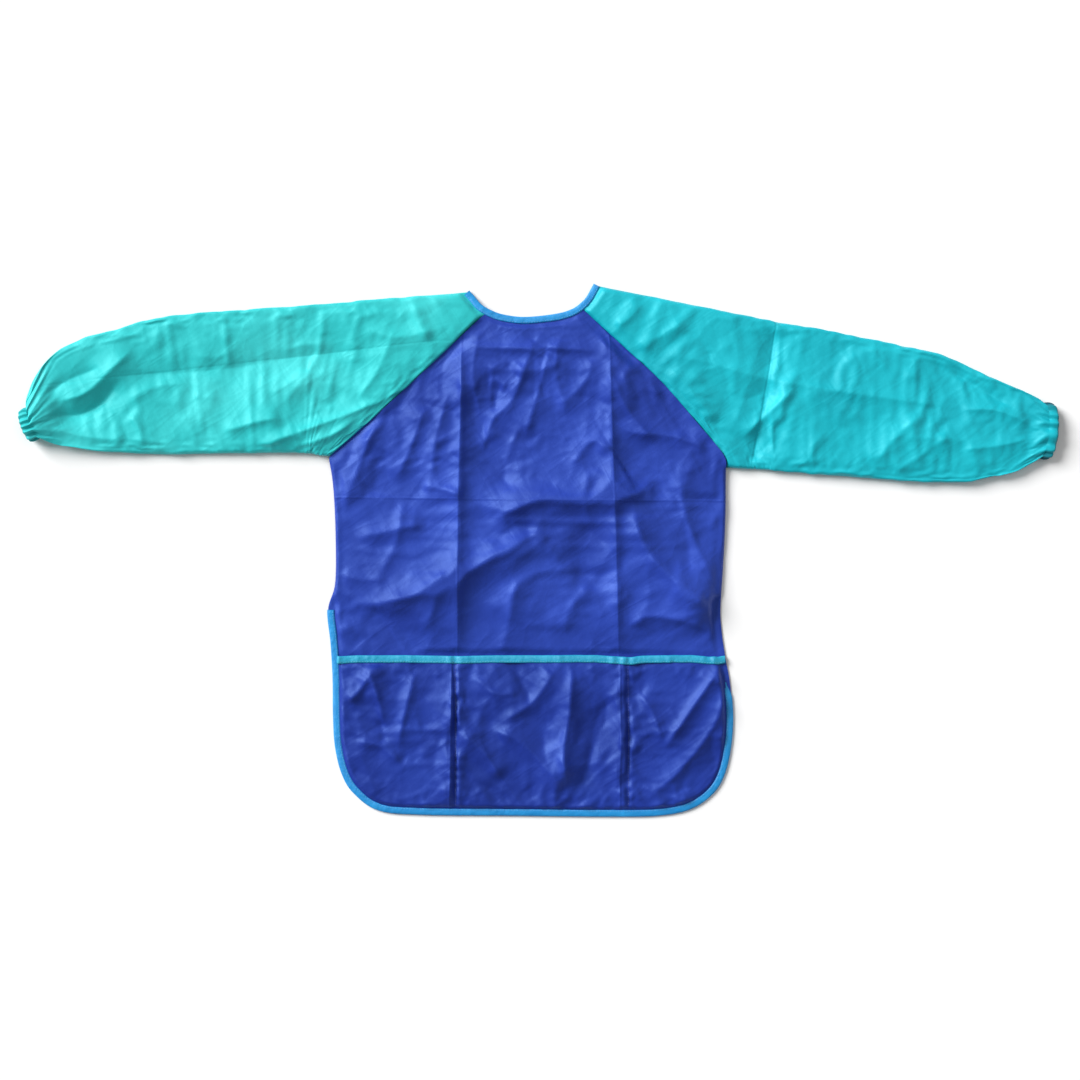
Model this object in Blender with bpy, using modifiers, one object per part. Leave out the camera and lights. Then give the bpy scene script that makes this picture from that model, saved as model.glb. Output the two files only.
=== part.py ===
"""Child's long-sleeved artist's smock, unfastened at the back and laid flat with its front up.

Metres, +Z up, +Y towards the neck, origin under the middle of the whole smock on the surface it lies on.
Every cloth piece is a sheet or a flattened tube at the height where it lies.
"""

import math

import bmesh
import bpy
from mathutils import Matrix, Vector

# Cloth, tape and clearances
CLOTH = 0.0006  # solid thickness of one layer of cloth
SEAM_GAP = 0.0010  # between two cloth pieces that are sewn edge to edge
TAPE_WIDTH = 0.0080  # folded width of the bias tape that binds every raw edge
TAPE_WALL = 0.0005
TAPE_ROOM = 0.0007  # above and below the cloth inside the folded tape
TAPE_LIP = TAPE_WALL + TAPE_ROOM  # how far the tape stands out from the cloth's edge

# Heights of the layers
TORSO_HEIGHT = 0.0110  # top of the front panel over the torso
LOW = TAPE_LIP  # underside of cloth that lies in a tape on the table
POCKET_FLOOR = 0.0015  # from the front panel up to the pocket's underside where it is stitched down
POCKET_RISE = 0.0062  # further up in the middle of each compartment
ARM_HEIGHT = 0.0140  # top of the sleeve along the arm
ARM_FULLNESS = 3.4  # exponent of the sleeve's rounded flat section: 2 is an ellipse

# Corners of the pattern as it lies, (x, y)
NECK_LEFT = (-0.0751, 0.2735)
NECK_RIGHT = (0.0572, 0.2809)
ARMPIT_LEFT = (-0.2226, 0.0982)
ARMPIT_RIGHT = (0.1958, 0.0859)
# Raglan seams of the front, from the neckline to the armpit
RAGLAN_LEFT = [(-0.0537, 0.2531), (-0.1190, 0.1915), (-0.1750, 0.1400), ARMPIT_LEFT]
RAGLAN_RIGHT = [
    (0.0411, 0.2580),
    (0.0902, 0.2121),
    (0.1285, 0.1767),
    (0.1667, 0.1325),
    (0.1933, 0.1002),
    ARMPIT_RIGHT,
]
NECKLINE = [RAGLAN_LEFT[0], (-0.0415, 0.2484), (-0.0205, 0.2452), (0.0005, 0.2463), (0.0215, 0.2494),
            (0.0341, 0.2536), RAGLAN_RIGHT[0]]
# Each sleeve's own part of the front neck edge
SLEEVE_NECK_LEFT = [NECK_LEFT, (-0.0688, 0.2665), (-0.0625, 0.2588), RAGLAN_LEFT[0]]
SLEEVE_NECK_RIGHT = [NECK_RIGHT, (0.0490, 0.2660), RAGLAN_RIGHT[0]]
# Where the back's raglan seams leave the back neck; the back flaps fold out from these points
BACK_SEAM_LEFT = (-0.0655, 0.2595)
BACK_SEAM_RIGHT = (0.0490, 0.2665)

# Sides of the front, from the armpit down to the middle of the rounded hem corner
SIDE_LEFT = [
    ARMPIT_LEFT,
    (-0.2179, 0.0656),
    (-0.2155, 0.0152),
    (-0.2160, -0.0352),
    (-0.2235, -0.0620),
    (-0.2200, -0.0982),
    (-0.2179, -0.1360),
    (-0.2175, -0.1740),
    (-0.2155, -0.2060),
    (-0.2085, -0.2350),
    (-0.1960, -0.2555),
]
SIDE_RIGHT = [
    ARMPIT_RIGHT,
    (0.1958, 0.0500),
    (0.1948, 0.0152),
    (0.1925, -0.0252),
    (0.1902, -0.0620),
    (0.1915, -0.0856),
    (0.1950, -0.1100),
    (0.2003, -0.1400),
    (0.2030, -0.1740),
    (0.2010, -0.2060),
    (0.1945, -0.2350),
    (0.1825, -0.2555),
]
HEM = [SIDE_LEFT[-1], (-0.1700, -0.2735), (-0.1250, -0.2780), (-0.0300, -0.2790), (0.0700, -0.2800),
       (0.1250, -0.2790), (0.1590, -0.2720), SIDE_RIGHT[-1]]
FLAP_FOOT = -0.0260  # y where each back flap runs out into the side
TAPE_TOP = -0.0600  # y where the tape of each back edge comes out from under the side
SLOPE_TOP, SLOPE_FOOT = -0.0400, -0.0960  # the front panel comes down to the table between these y
FOLD_ROLL = 0.0100  # how far in from the side fold the front is rounded
POCKET_TOP = -0.1120  # y of the pocket's cloth edge, under its tape
DIVIDERS = (-0.0890, 0.0930)  # x of the two stitched rows that part the pocket
DIVIDER_HALF = 0.0120  # how far the cloth dips to each side of a row
POCKET_INSET = TAPE_WIDTH + 0.0012

# Sleeves: the crease where each folds over, then the top and underarm edges out to the cuff
CREASE = 0.2500
SLEEVE_LEFT_TOP = [(-0.2500, 0.2583), (-0.3145, 0.2536), (-0.3985, 0.2462), (-0.4405, 0.2347),
                   (-0.4825, 0.2225), (-0.5120, 0.2060), (-0.5310, 0.1830), (-0.5400, 0.1600), (-0.5385, 0.1490)]
SLEEVE_LEFT_UNDER = [(-0.2500, 0.1024), (-0.3145, 0.1018), (-0.3985, 0.1003), (-0.4405, 0.1024),
                     (-0.4700, 0.1040), (-0.4925, 0.1080), (-0.5100, 0.1120), (-0.5215, 0.1150), (-0.5275, 0.1175)]
SLEEVE_RIGHT_TOP = [(0.2500, 0.2415), (0.2945, 0.2336), (0.3785, 0.2168), (0.4205, 0.2074),
                    (0.4625, 0.1885), (0.4835, 0.1790), (0.5045, 0.1696), (0.5255, 0.1605), (0.5340, 0.1545)]
SLEEVE_RIGHT_UNDER = [(0.2500, 0.0838), (0.2945, 0.0793), (0.3785, 0.0730), (0.4205, 0.0709),
                      (0.4525, 0.0722), (0.4775, 0.0775), (0.5000, 0.0830), (0.5180, 0.0905), (0.5290, 0.0970)]
# Height of each arm at its nine stations: it swells where the elastic gathers it, then narrows to the cuff
SWELL_LEFT = [1.0, 1.0, 1.05, 1.25, 1.55, 1.8, 1.95, 1.95, 1.8]
SWELL_RIGHT = [1.0, 1.0, 1.05, 1.15, 1.3, 1.4, 1.4, 1.3, 1.1]
CASING_DEPTH = 0.0090  # length of the hem casing along the sleeve
CASING_THICK = 0.0030
ELASTIC_WIDTH, ELASTIC_THICK = 0.0060, 0.0010

# Hook-and-loop fastener at the nape
FASTENER = (0.0340, 0.0200)  # length across the back and width of each strip
FASTENER_DROP = 0.0615  # from the back seam's top down to the strip's middle
FASTENER_SHIFT = 0.0040  # of the strip's middle, outwards from the back seam's top
HOOK_THICK, LOOP_THICK = 0.0012, 0.0007

ROYAL_BLUE = (0.030, 0.075, 0.480)
TURQUOISE = (0.020, 0.520, 0.500)
SKY_BLUE = (0.030, 0.330, 0.800)
WHITE = (0.800, 0.800, 0.780)


def clear_scene():
    for obj in list(bpy.data.objects):
        bpy.data.objects.remove(obj)


def collection(name):
    made = bpy.data.collections.new(name)
    bpy.context.scene.collection.children.link(made)
    return made


def material(name, colour, roughness):
    made = bpy.data.materials.new(name)
    made.use_nodes = True
    shader = made.node_tree.nodes["Principled BSDF"]
    shader.inputs["Base Color"].default_value = (*colour, 1)
    shader.inputs["Roughness"].default_value = roughness
    shader.inputs["Metallic"].default_value = 0
    return made


def finish(name, data, paint, group):
    obj = bpy.data.objects.new(name, data)
    data.materials.append(paint)
    group.objects.link(obj)
    return obj


# ---- Lines in the plane of the cloth


def smooth_line(points, count):
    """count points, evenly spaced along a Catmull-Rom curve through the given (x, y) points."""
    knots = [Vector(p) for p in points]
    ends = [2 * knots[0] - knots[1], *knots, 2 * knots[-1] - knots[-2]]
    dense = []
    for a, b, c, d in zip(ends, ends[1:], ends[2:], ends[3:]):
        for step in range(16):
            t = step / 16
            dense.append(
                0.5 * (2 * b + (c - a) * t + (2 * a - 5 * b + 4 * c - d) * t**2 + (3 * b - a - 3 * c + d) * t**3)
            )
    return even([*dense, knots[-1]], count)


def even(points, count):
    """The polyline's points, respaced evenly along its length."""
    reach = [0.0]
    for a, b in zip(points, points[1:]):
        reach.append(reach[-1] + (b - a).length)
    return [at_length(points, reach, reach[-1] * k / (count - 1)) for k in range(count)]


def length_of(points):
    return sum((b - a).length for a, b in zip(points, points[1:]))


def at_length(points, reach, wanted):
    for k in range(1, len(points)):
        if reach[k] >= wanted - 1e-12:
            share = (wanted - reach[k - 1]) / max(reach[k] - reach[k - 1], 1e-12)
            return points[k - 1].lerp(points[k], min(max(share, 0), 1))
    return points[-1].copy()


def at_share(points, share):
    """The point that lies this share, 0 to 1, of the way along a polyline."""
    reach = [0.0]
    for a, b in zip(points, points[1:]):
        reach.append(reach[-1] + (b - a).length)
    return at_length(points, reach, reach[-1] * share)


def moved_in(points, by, inside):
    """The polyline moved sideways by a distance, towards the point inside."""
    moved = []
    for k, point in enumerate(points):
        along = points[min(k + 1, len(points) - 1)] - points[max(k - 1, 0)]
        normal = Vector((-along.y, along.x)).normalized()
        if normal.dot(Vector(inside) - point) < 0:
            normal = -normal
        moved.append(point + by * normal)
    return moved


def ease(value, start, end):
    t = min(max((value - start) / (end - start), 0), 1)
    return t * t * (3 - 2 * t)


def y_at(line, x):
    """y of a line that runs across, at x."""
    for a, b in zip(line, line[1:]):
        if min(a.x, b.x) <= x <= max(a.x, b.x) and abs(a.x - b.x) > 1e-9:
            return a.y + (b.y - a.y) * (x - a.x) / (b.x - a.x)
    return (line[0] if x < line[0].x else line[-1]).y


def x_at(line, y):
    """x of a side line at a height y."""
    for a, b in zip(line, line[1:]):
        if min(a.y, b.y) <= y <= max(a.y, b.y) and abs(a.y - b.y) > 1e-9:
            return a.x + (b.x - a.x) * (y - a.y) / (b.y - a.y)
    return (line[0] if y > line[0].y else line[-1]).x


# ---- Solids


def sheet(name, rows, paint, group):
    """A sheet of cloth on a grid of points that give its underside."""
    verts = [point for row in rows for point in row]
    width = len(rows[0])
    faces = [
        (r * width + c, r * width + c + 1, (r + 1) * width + c + 1, (r + 1) * width + c)
        for r in range(len(rows) - 1)
        for c in range(width - 1)
    ]
    mesh = bpy.data.meshes.new(name)
    mesh.from_pydata(verts, [], [f[::-1] for f in faces])
    mesh.shade_smooth()
    obj = finish(name, mesh, paint, group)
    solidify(obj, CLOTH, 1)
    return obj


def tube(name, rings, paint, group):
    """A tube of cloth through closed rings of points that give its outside."""
    around = len(rings[0])
    faces = [
        (r * around + k, r * around + (k + 1) % around, (r + 1) * around + (k + 1) % around, (r + 1) * around + k)
        for r in range(len(rings) - 1)
        for k in range(around)
    ]
    mesh = bpy.data.meshes.new(name)
    mesh.from_pydata([point for ring in rings for point in ring], [], faces)
    mesh.shade_smooth()
    obj = finish(name, mesh, paint, group)
    solidify(obj, CLOTH, -1)
    return obj


def solidify(obj, thickness, offset):
    wall = obj.modifiers.new("Cloth", "SOLIDIFY")
    wall.thickness = thickness
    wall.offset = offset
    wall.use_rim = True


def plate(name, outline, underside, thickness, paint, group):
    """A flat piece with the given (x, y) outline."""
    curve = bpy.data.curves.new(name, "CURVE")
    curve.dimensions = "2D"
    curve.fill_mode = "BOTH"
    curve.extrude = thickness / 2
    poly(curve, [Vector((x, y, 0)) for x, y in outline], True)
    obj = finish(name, curve, paint, group)
    obj.location.z = underside + thickness / 2
    return obj


def poly(curve, points, closed):
    spline = curve.splines.new("POLY")
    spline.points.add(len(points) - 1)
    for at, point in zip(spline.points, points):
        at.co = (*point, 1)
    spline.use_cyclic_u = closed


def profile(name, outline, guides):
    """A closed section for a swept piece: first coordinate across the sweep, second up."""
    curve = bpy.data.curves.new(name, "CURVE")
    curve.dimensions = "2D"
    poly(curve, [Vector((a, b, 0)) for a, b in outline], True)
    obj = bpy.data.objects.new(name, curve)
    obj.hide_render = True
    obj.display_type = "WIRE"
    guides.objects.link(obj)
    return obj


def swept(name, path, section, closed, paint, group):
    """A section carried along a path, as a closed solid."""
    curve = bpy.data.curves.new(name, "CURVE")
    curve.dimensions = "2D" if closed else "3D"
    curve.twist_mode = "Z_UP"
    curve.bevel_mode = "OBJECT"
    curve.bevel_object = section
    curve.use_fill_caps = not closed
    poly(curve, path, closed)
    drawn = bpy.data.objects.new(name + "_path", curve)
    group.objects.link(drawn)
    bpy.context.view_layer.update()
    mesh = bpy.data.meshes.new_from_object(drawn.evaluated_get(bpy.context.evaluated_depsgraph_get()))
    bpy.data.objects.remove(drawn)
    mesh.name = name
    mesh.materials.clear()
    whole = bmesh.new()
    whole.from_mesh(mesh)
    bmesh.ops.remove_doubles(whole, verts=whole.verts, dist=0.00002)
    bmesh.ops.recalc_face_normals(whole, faces=whole.faces)
    whole.to_mesh(mesh)
    whole.free()
    return finish(name, mesh, paint, group)


def folded_tape(name, side, guides):
    """Section of bias tape folded over a cloth edge: side is +1 where the cloth lies to the path's right."""
    half = TAPE_ROOM + TAPE_WALL
    inner = TAPE_WIDTH - TAPE_LIP
    outline = [
        (-TAPE_LIP, -half),
        (inner, -half),
        (inner, -TAPE_ROOM),
        (-TAPE_ROOM, -TAPE_ROOM),
        (-TAPE_ROOM, CLOTH + TAPE_ROOM),
        (inner, CLOTH + TAPE_ROOM),
        (inner, CLOTH + half),
        (-TAPE_LIP, CLOTH + half),
    ]
    return profile(name, [(side * a, b) for a, b in outline], guides)


# ---- The front panel and its height


def front_edges():
    """The front panel's four edges, as cut: neckline, left side, right side, hem."""
    middle = (0, 0)
    around = moved_in(smooth_line([*SIDE_LEFT, *HEM[1:-1], *SIDE_RIGHT[::-1]], 260), TAPE_LIP, middle)
    corner_left = nearest(around, SIDE_LEFT[-1])
    corner_right = nearest(around, SIDE_RIGHT[-1])
    raglan_left = moved_in(smooth_line(RAGLAN_LEFT, 30), SEAM_GAP, middle)[:-1]
    raglan_right = moved_in(smooth_line(RAGLAN_RIGHT, 30), SEAM_GAP, middle)[:-1]
    left = [*raglan_left, *around[1 : corner_left + 1]]
    hem = around[corner_left : corner_right + 1]
    right = [*raglan_right, *around[corner_right:-1][::-1]]
    neck = moved_in(smooth_line(NECKLINE, 30), 0.0003, middle)
    neck[0], neck[-1] = left[0], right[0]
    return neck, left, right, hem


def nearest(points, wanted):
    wanted = Vector(wanted)
    return min(range(len(points)), key=lambda k: (points[k] - wanted).length)


def coons(top, left, right, bottom, across, down):
    """Points (x, y) that fill the space between four edges, at the given shares across and down."""
    a, b, c, d = top[0], top[-1], bottom[0], bottom[-1]
    rows = []
    for v in down:
        le, ri = at_share(left, v), at_share(right, v)
        row = []
        for u in across:
            to, bo = at_share(top, u), at_share(bottom, u)
            corners = a * (1 - u) * (1 - v) + b * u * (1 - v) + c * (1 - u) * v + d * u * v
            row.append(to * (1 - v) + bo * v + le * (1 - u) + ri * u - corners)
        rows.append(row)
    return rows


def front_height(x, y, side_left, side_right):
    """Underside of the front panel."""
    middle = LOW + (TORSO_HEIGHT - CLOTH - LOW) * ease(y, SLOPE_FOOT, SLOPE_TOP)
    armpit = ARMPIT_LEFT[1] if x < 0 else ARMPIT_RIGHT[1]
    inward = min(x - x_at(side_left, y), x_at(side_right, y) - x)
    flat = (TAPE_WIDTH + 0.0020) * (1 - ease(y, -0.048, -0.032))
    t = min(max((inward - flat) / FOLD_ROLL, 0), 1)
    rolled = LOW + (middle - LOW) * math.sqrt(1 - (1 - t) ** 2)
    return rolled + (middle - rolled) * ease(y, armpit - 0.012, armpit - 0.002)


def make_front(paint, group):
    neck, left, right, hem = front_edges()
    edge_shares = [0, 0.006, 0.014, 0.0215, 0.036, 0.060]
    across = [*edge_shares, *[0.06 + 0.88 * k / 11 for k in range(1, 11)], *[1 - s for s in edge_shares[::-1]]]
    down = [k / 26 for k in range(27)]
    plan = coons(neck, left, right, hem, across, down)
    rows = [[(p.x, p.y, front_height(p.x, p.y, left, right)) for p in row] for row in plan]
    sheet("front_panel", rows, paint, group)


# ---- Sleeves


def section(share, height):
    """(share from the top fold to the underarm, height) of point `share` round the flat sleeve section."""
    angle = 2 * math.pi * share
    c, s = math.cos(angle), math.sin(angle)
    power = 2 / ARM_FULLNESS
    across = math.copysign(abs(c) ** power, c)
    up = math.copysign(abs(s) ** power, s)
    return (1 - across) / 2, height / 2 * (1 + up), s >= -1e-9


def sleeve_rings(front_seam, back_seam, top, under, swell, around=28):
    """(shoulder rings, arm rings): the shoulder runs from the seams to the crease, the arm on to the cuff."""
    at_crease = [Vector(top[0]), Vector(under[0])]
    inward = 1 if top[0][0] < 0 else -1
    shoulder, arm = [], []
    for step in range(7):
        s = step / 6
        ring = []
        for k in range(around):
            v, z, is_front = section(k / around, TORSO_HEIGHT + (ARM_HEIGHT - TORSO_HEIGHT) * s)
            seam = at_share(front_seam if is_front else back_seam, v)
            crease = at_crease[0].lerp(at_crease[1], v) + Vector((inward * SEAM_GAP / 2, 0))
            ring.append((*seam.lerp(crease, s), z))
        shoulder.append(ring)
    stations = 15
    tops, unders = smooth_line(top, stations), smooth_line(under, stations)
    for step in range(stations):
        s = step / (stations - 1)
        place = s * (len(swell) - 1)
        low = min(int(place), len(swell) - 2)
        height = ARM_HEIGHT * (swell[low] + (swell[low + 1] - swell[low]) * (place - low))
        ring = []
        for k in range(around):
            v, z, _ = section(k / around, height)
            point = tops[step].lerp(unders[step], v)
            if step == 0:
                point = point - Vector((inward * SEAM_GAP / 2, 0))
            ring.append((*point, z))
        arm.append(ring)
    return shoulder, arm


def make_cuff(side, top, under, height, cloth_paint, elastic_paint, group, guides):
    """The hem casing at the sleeve's end and the elastic ring inside it."""
    a, b = Vector((*top[-1], height / 2)), Vector((*under[-1], height / 2))
    across = (a - b).normalized()
    outward = Vector((0, 0, 1)).cross(across) * (1 if side == "left" else -1)
    wide, tall = (a - b).length / 2 - 0.0005, height / 2 - 0.0005
    middle = (a + b) / 2 + outward * (CASING_DEPTH / 2 + 0.0006)
    turn = Matrix((across, Vector((0, 0, 1)), across.cross(Vector((0, 0, 1))))).transposed().to_4x4()
    shift = CASING_THICK / 2
    ring = [
        Vector(((wide - shift) * math.cos(2 * math.pi * k / 32), (tall - shift) * math.sin(2 * math.pi * k / 32), 0))
        for k in range(32)
    ]
    wall, lip = 0.0005, 0.0012
    t, d = CASING_THICK / 2, CASING_DEPTH / 2
    channel = [(-t, -d), (t, -d), (t, -lip / 2), (t - wall, -lip / 2), (t - wall, -d + wall), (-t + wall, -d + wall),
               (-t + wall, d - wall), (t - wall, d - wall), (t - wall, lip / 2), (t, lip / 2), (t, d), (-t, d)]
    casing_section = profile(f"casing_section_{side}", channel, guides)
    band_section = profile(
        f"elastic_section_{side}",
        [(x * ELASTIC_THICK / 2, y * ELASTIC_WIDTH / 2) for x, y in ((-1, -1), (1, -1), (1, 1), (-1, 1))],
        guides,
    )
    for name, cut, paint in (
        (f"cuff_casing_{side}", casing_section, cloth_paint),
        (f"cuff_elastic_{side}", band_section, elastic_paint),
    ):
        obj = swept(name, ring, cut, True, paint, group)
        obj.matrix_world = Matrix.Translation(middle) @ turn


def make_sleeve(side, cloth_paint, elastic_paint, group, guides):
    left = side == "left"
    neck = smooth_line(SLEEVE_NECK_LEFT if left else SLEEVE_NECK_RIGHT, 8)
    raglan = smooth_line(RAGLAN_LEFT if left else RAGLAN_RIGHT, 24)
    back_start = Vector(BACK_SEAM_LEFT if left else BACK_SEAM_RIGHT)
    armpit = Vector(ARMPIT_LEFT if left else ARMPIT_RIGHT)
    top = SLEEVE_LEFT_TOP if left else SLEEVE_RIGHT_TOP
    under = SLEEVE_LEFT_UNDER if left else SLEEVE_RIGHT_UNDER
    swell = SWELL_LEFT if left else SWELL_RIGHT
    front_seam, back_seam = [*neck[:-1], *raglan], [neck[0], back_start, armpit]
    shoulder, arm = sleeve_rings(front_seam, back_seam, top, under, swell)
    tube(f"sleeve_shoulder_{side}", [r[::-1] for r in shoulder] if left else shoulder, cloth_paint, group)
    tube(f"sleeve_arm_{side}", [r[::-1] for r in arm] if left else arm, cloth_paint, group)
    make_cuff(side, top, under, ARM_HEIGHT * swell[-1], cloth_paint, elastic_paint, group, guides)


# ---- Back: side pieces that stay with the body, and the flaps that fold open


def make_back(side, cloth_paint, tape_paint, strip_paint, group, guides):
    left = side == "left"
    sign = 1 if left else -1  # towards the middle of the back
    seam = Vector(BACK_SEAM_LEFT if left else BACK_SEAM_RIGHT)
    armpit = Vector(ARMPIT_LEFT if left else ARMPIT_RIGHT)
    side_line = smooth_line(SIDE_LEFT if left else SIDE_RIGHT, 40)
    foot = Vector((x_at(side_line, FLAP_FOOT) + sign * 0.0030, FLAP_FOOT))
    along = (foot - seam).normalized()
    normal = Vector((-along.y, along.x))
    if normal.x * sign < 0:
        normal = -normal
    half_gap = SEAM_GAP / 2
    raglan_gap = Vector((sign * 0.0006, -0.0008))
    fold_side = [
        Vector((x_at(side_line, y) + sign * 0.0035, y)) for y in (armpit.y - 0.010, 0.060, 0.030, 0.000)
    ]
    fixed = [
        seam + along * 0.0070 - normal * half_gap,
        seam.lerp(armpit, 0.06) + raglan_gap,
        armpit + Vector((sign * 0.0040, -0.0030)),
        *fold_side,
        foot - along * 0.0080 - normal * half_gap,
    ]
    plate(f"back_side_{side}", fixed, LOW, CLOTH, cloth_paint, group)
    corner = seam + Vector((sign * 0.0270, -0.0400))
    centre_edge = smooth_line(
        [
            corner,
            seam + Vector((sign * 0.0200, -0.0900)),
            seam + Vector((sign * 0.0020, -0.1700)),
            seam + Vector((-sign * 0.0450, -0.2350)),
            seam + Vector((-sign * 0.1050, -0.2770)),
            foot + Vector((sign * 0.0060, 0.0012)),
        ],
        22,
    )
    neck_edge = even([seam + normal * 0.0040 - along * 0.0010, corner], 6)
    edge = rounded(even([*neck_edge[:-1], *centre_edge], 40), 2)
    outline = [seam + along * 0.0030 + normal * half_gap, *edge, foot - along * 0.0050 + normal * half_gap]
    plate(f"back_flap_{side}", outline, LOW, CLOTH, cloth_paint, group)
    section_of = folded_tape(f"tape_section_back_{side}", 1 if left else -1, guides)
    path = [Vector((p.x, p.y, LOW)) for p in edge[1:-2]]
    swept(f"back_binding_{side}", path, section_of, False, tape_paint, group)
    length, width = FASTENER
    middle = seam - Vector((sign * FASTENER_SHIFT, FASTENER_DROP))
    box = [
        (middle.x + a * length / 2, middle.y + b * width / 2) for a, b in ((-1, -1), (1, -1), (1, 1), (-1, 1))
    ]
    thickness = HOOK_THICK if left else LOOP_THICK
    underside = LOW + CLOTH + 0.0003 if left else LOW - 0.0003 - LOOP_THICK
    plate("hook_strip" if left else "loop_strip", box, underside, thickness, strip_paint, group)


def rounded(points, passes):
    """The polyline with its corners eased and its ends kept."""
    for _ in range(passes):
        points = [
            p if k in (0, len(points) - 1) else (points[k - 1] + 2 * p + points[k + 1]) / 4
            for k, p in enumerate(points)
        ]
    return points


# ---- Pocket and bindings


def pocket_height(x, inward):
    """Underside of the pocket's cloth."""
    lift = POCKET_RISE * ease(inward, 0.0, 0.0200)
    for row in DIVIDERS:
        lift *= ease(abs(x - row), 0.0015, DIVIDER_HALF)
    return LOW + CLOTH + POCKET_FLOOR + lift


def make_pocket(cloth_paint, tape_paint, thread_paint, group, guides):
    _, left, right, hem = front_edges()
    edge = [*[p for p in left if p.y < -0.105], *hem[1:-1], *[p for p in right if p.y < -0.105][::-1]]
    inner = moved_in(edge, POCKET_INSET - TAPE_LIP, (0, -0.15))
    corners = [nearest(inner, line[-1]) for line in (SIDE_LEFT, SIDE_RIGHT)]
    side_left = inner[: corners[0] + 1]
    side_right = inner[corners[1] :][::-1]
    start = Vector((x_at(side_left, POCKET_TOP), POCKET_TOP))
    end = Vector((x_at(side_right, POCKET_TOP), POCKET_TOP))
    side_left = [start, *[p for p in side_left if p.y < POCKET_TOP - 0.0005]]
    side_right = [end, *[p for p in side_right if p.y < POCKET_TOP - 0.0005]]
    bottom = inner[corners[0] : corners[1] + 1]
    columns = pocket_columns()
    down = [0, 0.12, 0.28, 0.45, 0.60, 0.74, 0.84, 0.91, 0.96, 1]
    foot = {x: Vector((x, y_at(bottom, x))) for x in columns}
    shares = [0, 0.08, 0.2, 0.35, 0.6]
    x0, x1 = columns[0], columns[-1]
    wing_left = coons(
        [start, Vector((x0, POCKET_TOP))],
        side_left,
        [Vector((x0, POCKET_TOP)), foot[x0]],
        [*[p for p in bottom if p.x < x0 - 0.0005], foot[x0]],
        shares,
        down,
    )
    wing_right = coons(
        [Vector((x1, POCKET_TOP)), end],
        [Vector((x1, POCKET_TOP)), foot[x1]],
        side_right,
        [foot[x1], *[p for p in bottom if p.x > x1 + 0.0005]],
        [1 - share for share in shares[::-1]],
        down,
    )
    rows = []
    for v, before, after in zip(down, wing_left, wing_right):
        middle = [Vector((x, POCKET_TOP)).lerp(foot[x], v) for x in columns]
        row = []
        for p in [*before, *middle, *after]:
            inward = min((p - q).length for q in [*side_left, *bottom, *side_right])
            row.append((p.x, p.y, pocket_height(p.x, inward)))
        rows.append(row)
    sheet("pocket_panel", rows, cloth_paint, group)
    tape = folded_tape("tape_section_pocket", 1, guides)
    swept("pocket_binding", [Vector(point) for point in rows[0]], tape, False, tape_paint, group)
    on_top = LOW + 2 * CLOTH + POCKET_FLOOR + 0.0003
    for name, x in zip(("left", "right"), DIVIDERS):
        low, high = y_at(bottom, x) + 0.004, POCKET_TOP - 0.010
        half = 0.0008
        box = [(x - half, low), (x + half, low), (x + half, high), (x - half, high)]
        plate(f"pocket_divider_{name}", box, on_top, 0.0006, thread_paint, group)


def pocket_columns():
    """x of the pocket's columns of points between its rounded corners, closest together at each stitched row."""
    spread = [-0.150, -0.120, -0.060, -0.030, 0.002, 0.034, 0.064, 0.120, 0.142]
    dips = [row + side for row in DIVIDERS for side in (-DIVIDER_HALF, -0.006, -0.0015, 0.0015, 0.006, DIVIDER_HALF)]
    return sorted([*spread, *dips])


def make_bindings(tape_paint, group, guides):
    _, left, right, hem = front_edges()
    run = [p for p in left if p.y < TAPE_TOP] + hem[1:-1]
    run += [p for p in right if p.y < TAPE_TOP][::-1]
    path = [Vector((p.x, p.y, LOW)) for p in even(run, 120)]
    swept("hem_binding", path, folded_tape("tape_section_hem", -1, guides), False, tape_paint, group)

    left_end, right_end = (smooth_line(line, 12)[3:] for line in (SLEEVE_NECK_LEFT, SLEEVE_NECK_RIGHT))
    path = [
        *neck_rise(left_end, SLEEVE_NECK_LEFT, RAGLAN_LEFT)[:-1],
        *[Vector((p.x, p.y, TORSO_HEIGHT - CLOTH)) for p in smooth_line(NECKLINE, 20)[1:-1]],
        *neck_rise(right_end, SLEEVE_NECK_RIGHT, RAGLAN_RIGHT)[-2::-1],
    ]
    swept("neck_binding", path, folded_tape("tape_section_neck", 1, guides), False, tape_paint, group)


def neck_rise(points, neck, raglan):
    """The sleeve's neck edge at the height where the flattened sleeve carries it."""
    neck_length, raglan_length = length_of(smooth_line(neck, 30)), length_of(smooth_line(raglan, 30))
    risen = []
    for k, p in enumerate(points):
        run = neck_length * (k + 3) / (len(points) + 2)
        across = 1 - 2 * run / (neck_length + raglan_length)
        up = (1 - across**ARM_FULLNESS) ** (1 / ARM_FULLNESS)
        risen.append(Vector((p.x, p.y, TORSO_HEIGHT / 2 * (1 + up) - CLOTH)))
    return risen


def main():
    clear_scene()
    group, guides = collection("artist_smock"), collection("guides")
    blue = material("royal_blue_cloth", ROYAL_BLUE, 0.45)
    teal = material("turquoise_cloth", TURQUOISE, 0.45)
    sky = material("sky_blue_tape", SKY_BLUE, 0.55)
    teal_tape = material("turquoise_tape", TURQUOISE, 0.55)
    white = material("white_elastic", WHITE, 0.80)
    strip = material("fastener_strip", ROYAL_BLUE, 0.90)
    make_front(blue, group)
    for side in ("left", "right"):
        make_sleeve(side, teal, white, group, guides)
        make_back(side, blue, sky, strip, group, guides)
    make_pocket(blue, teal_tape, blue, group, guides)
    make_bindings(sky, group, guides)


main()
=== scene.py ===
"""Child's long-sleeved art smock in coated nylon, laid flat with its front up and its back unfastened.

Built as it is sewn: front, back panels, sleeves, cuffs, pocket, then tapes, stitching and fastener.
"""

import math

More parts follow.
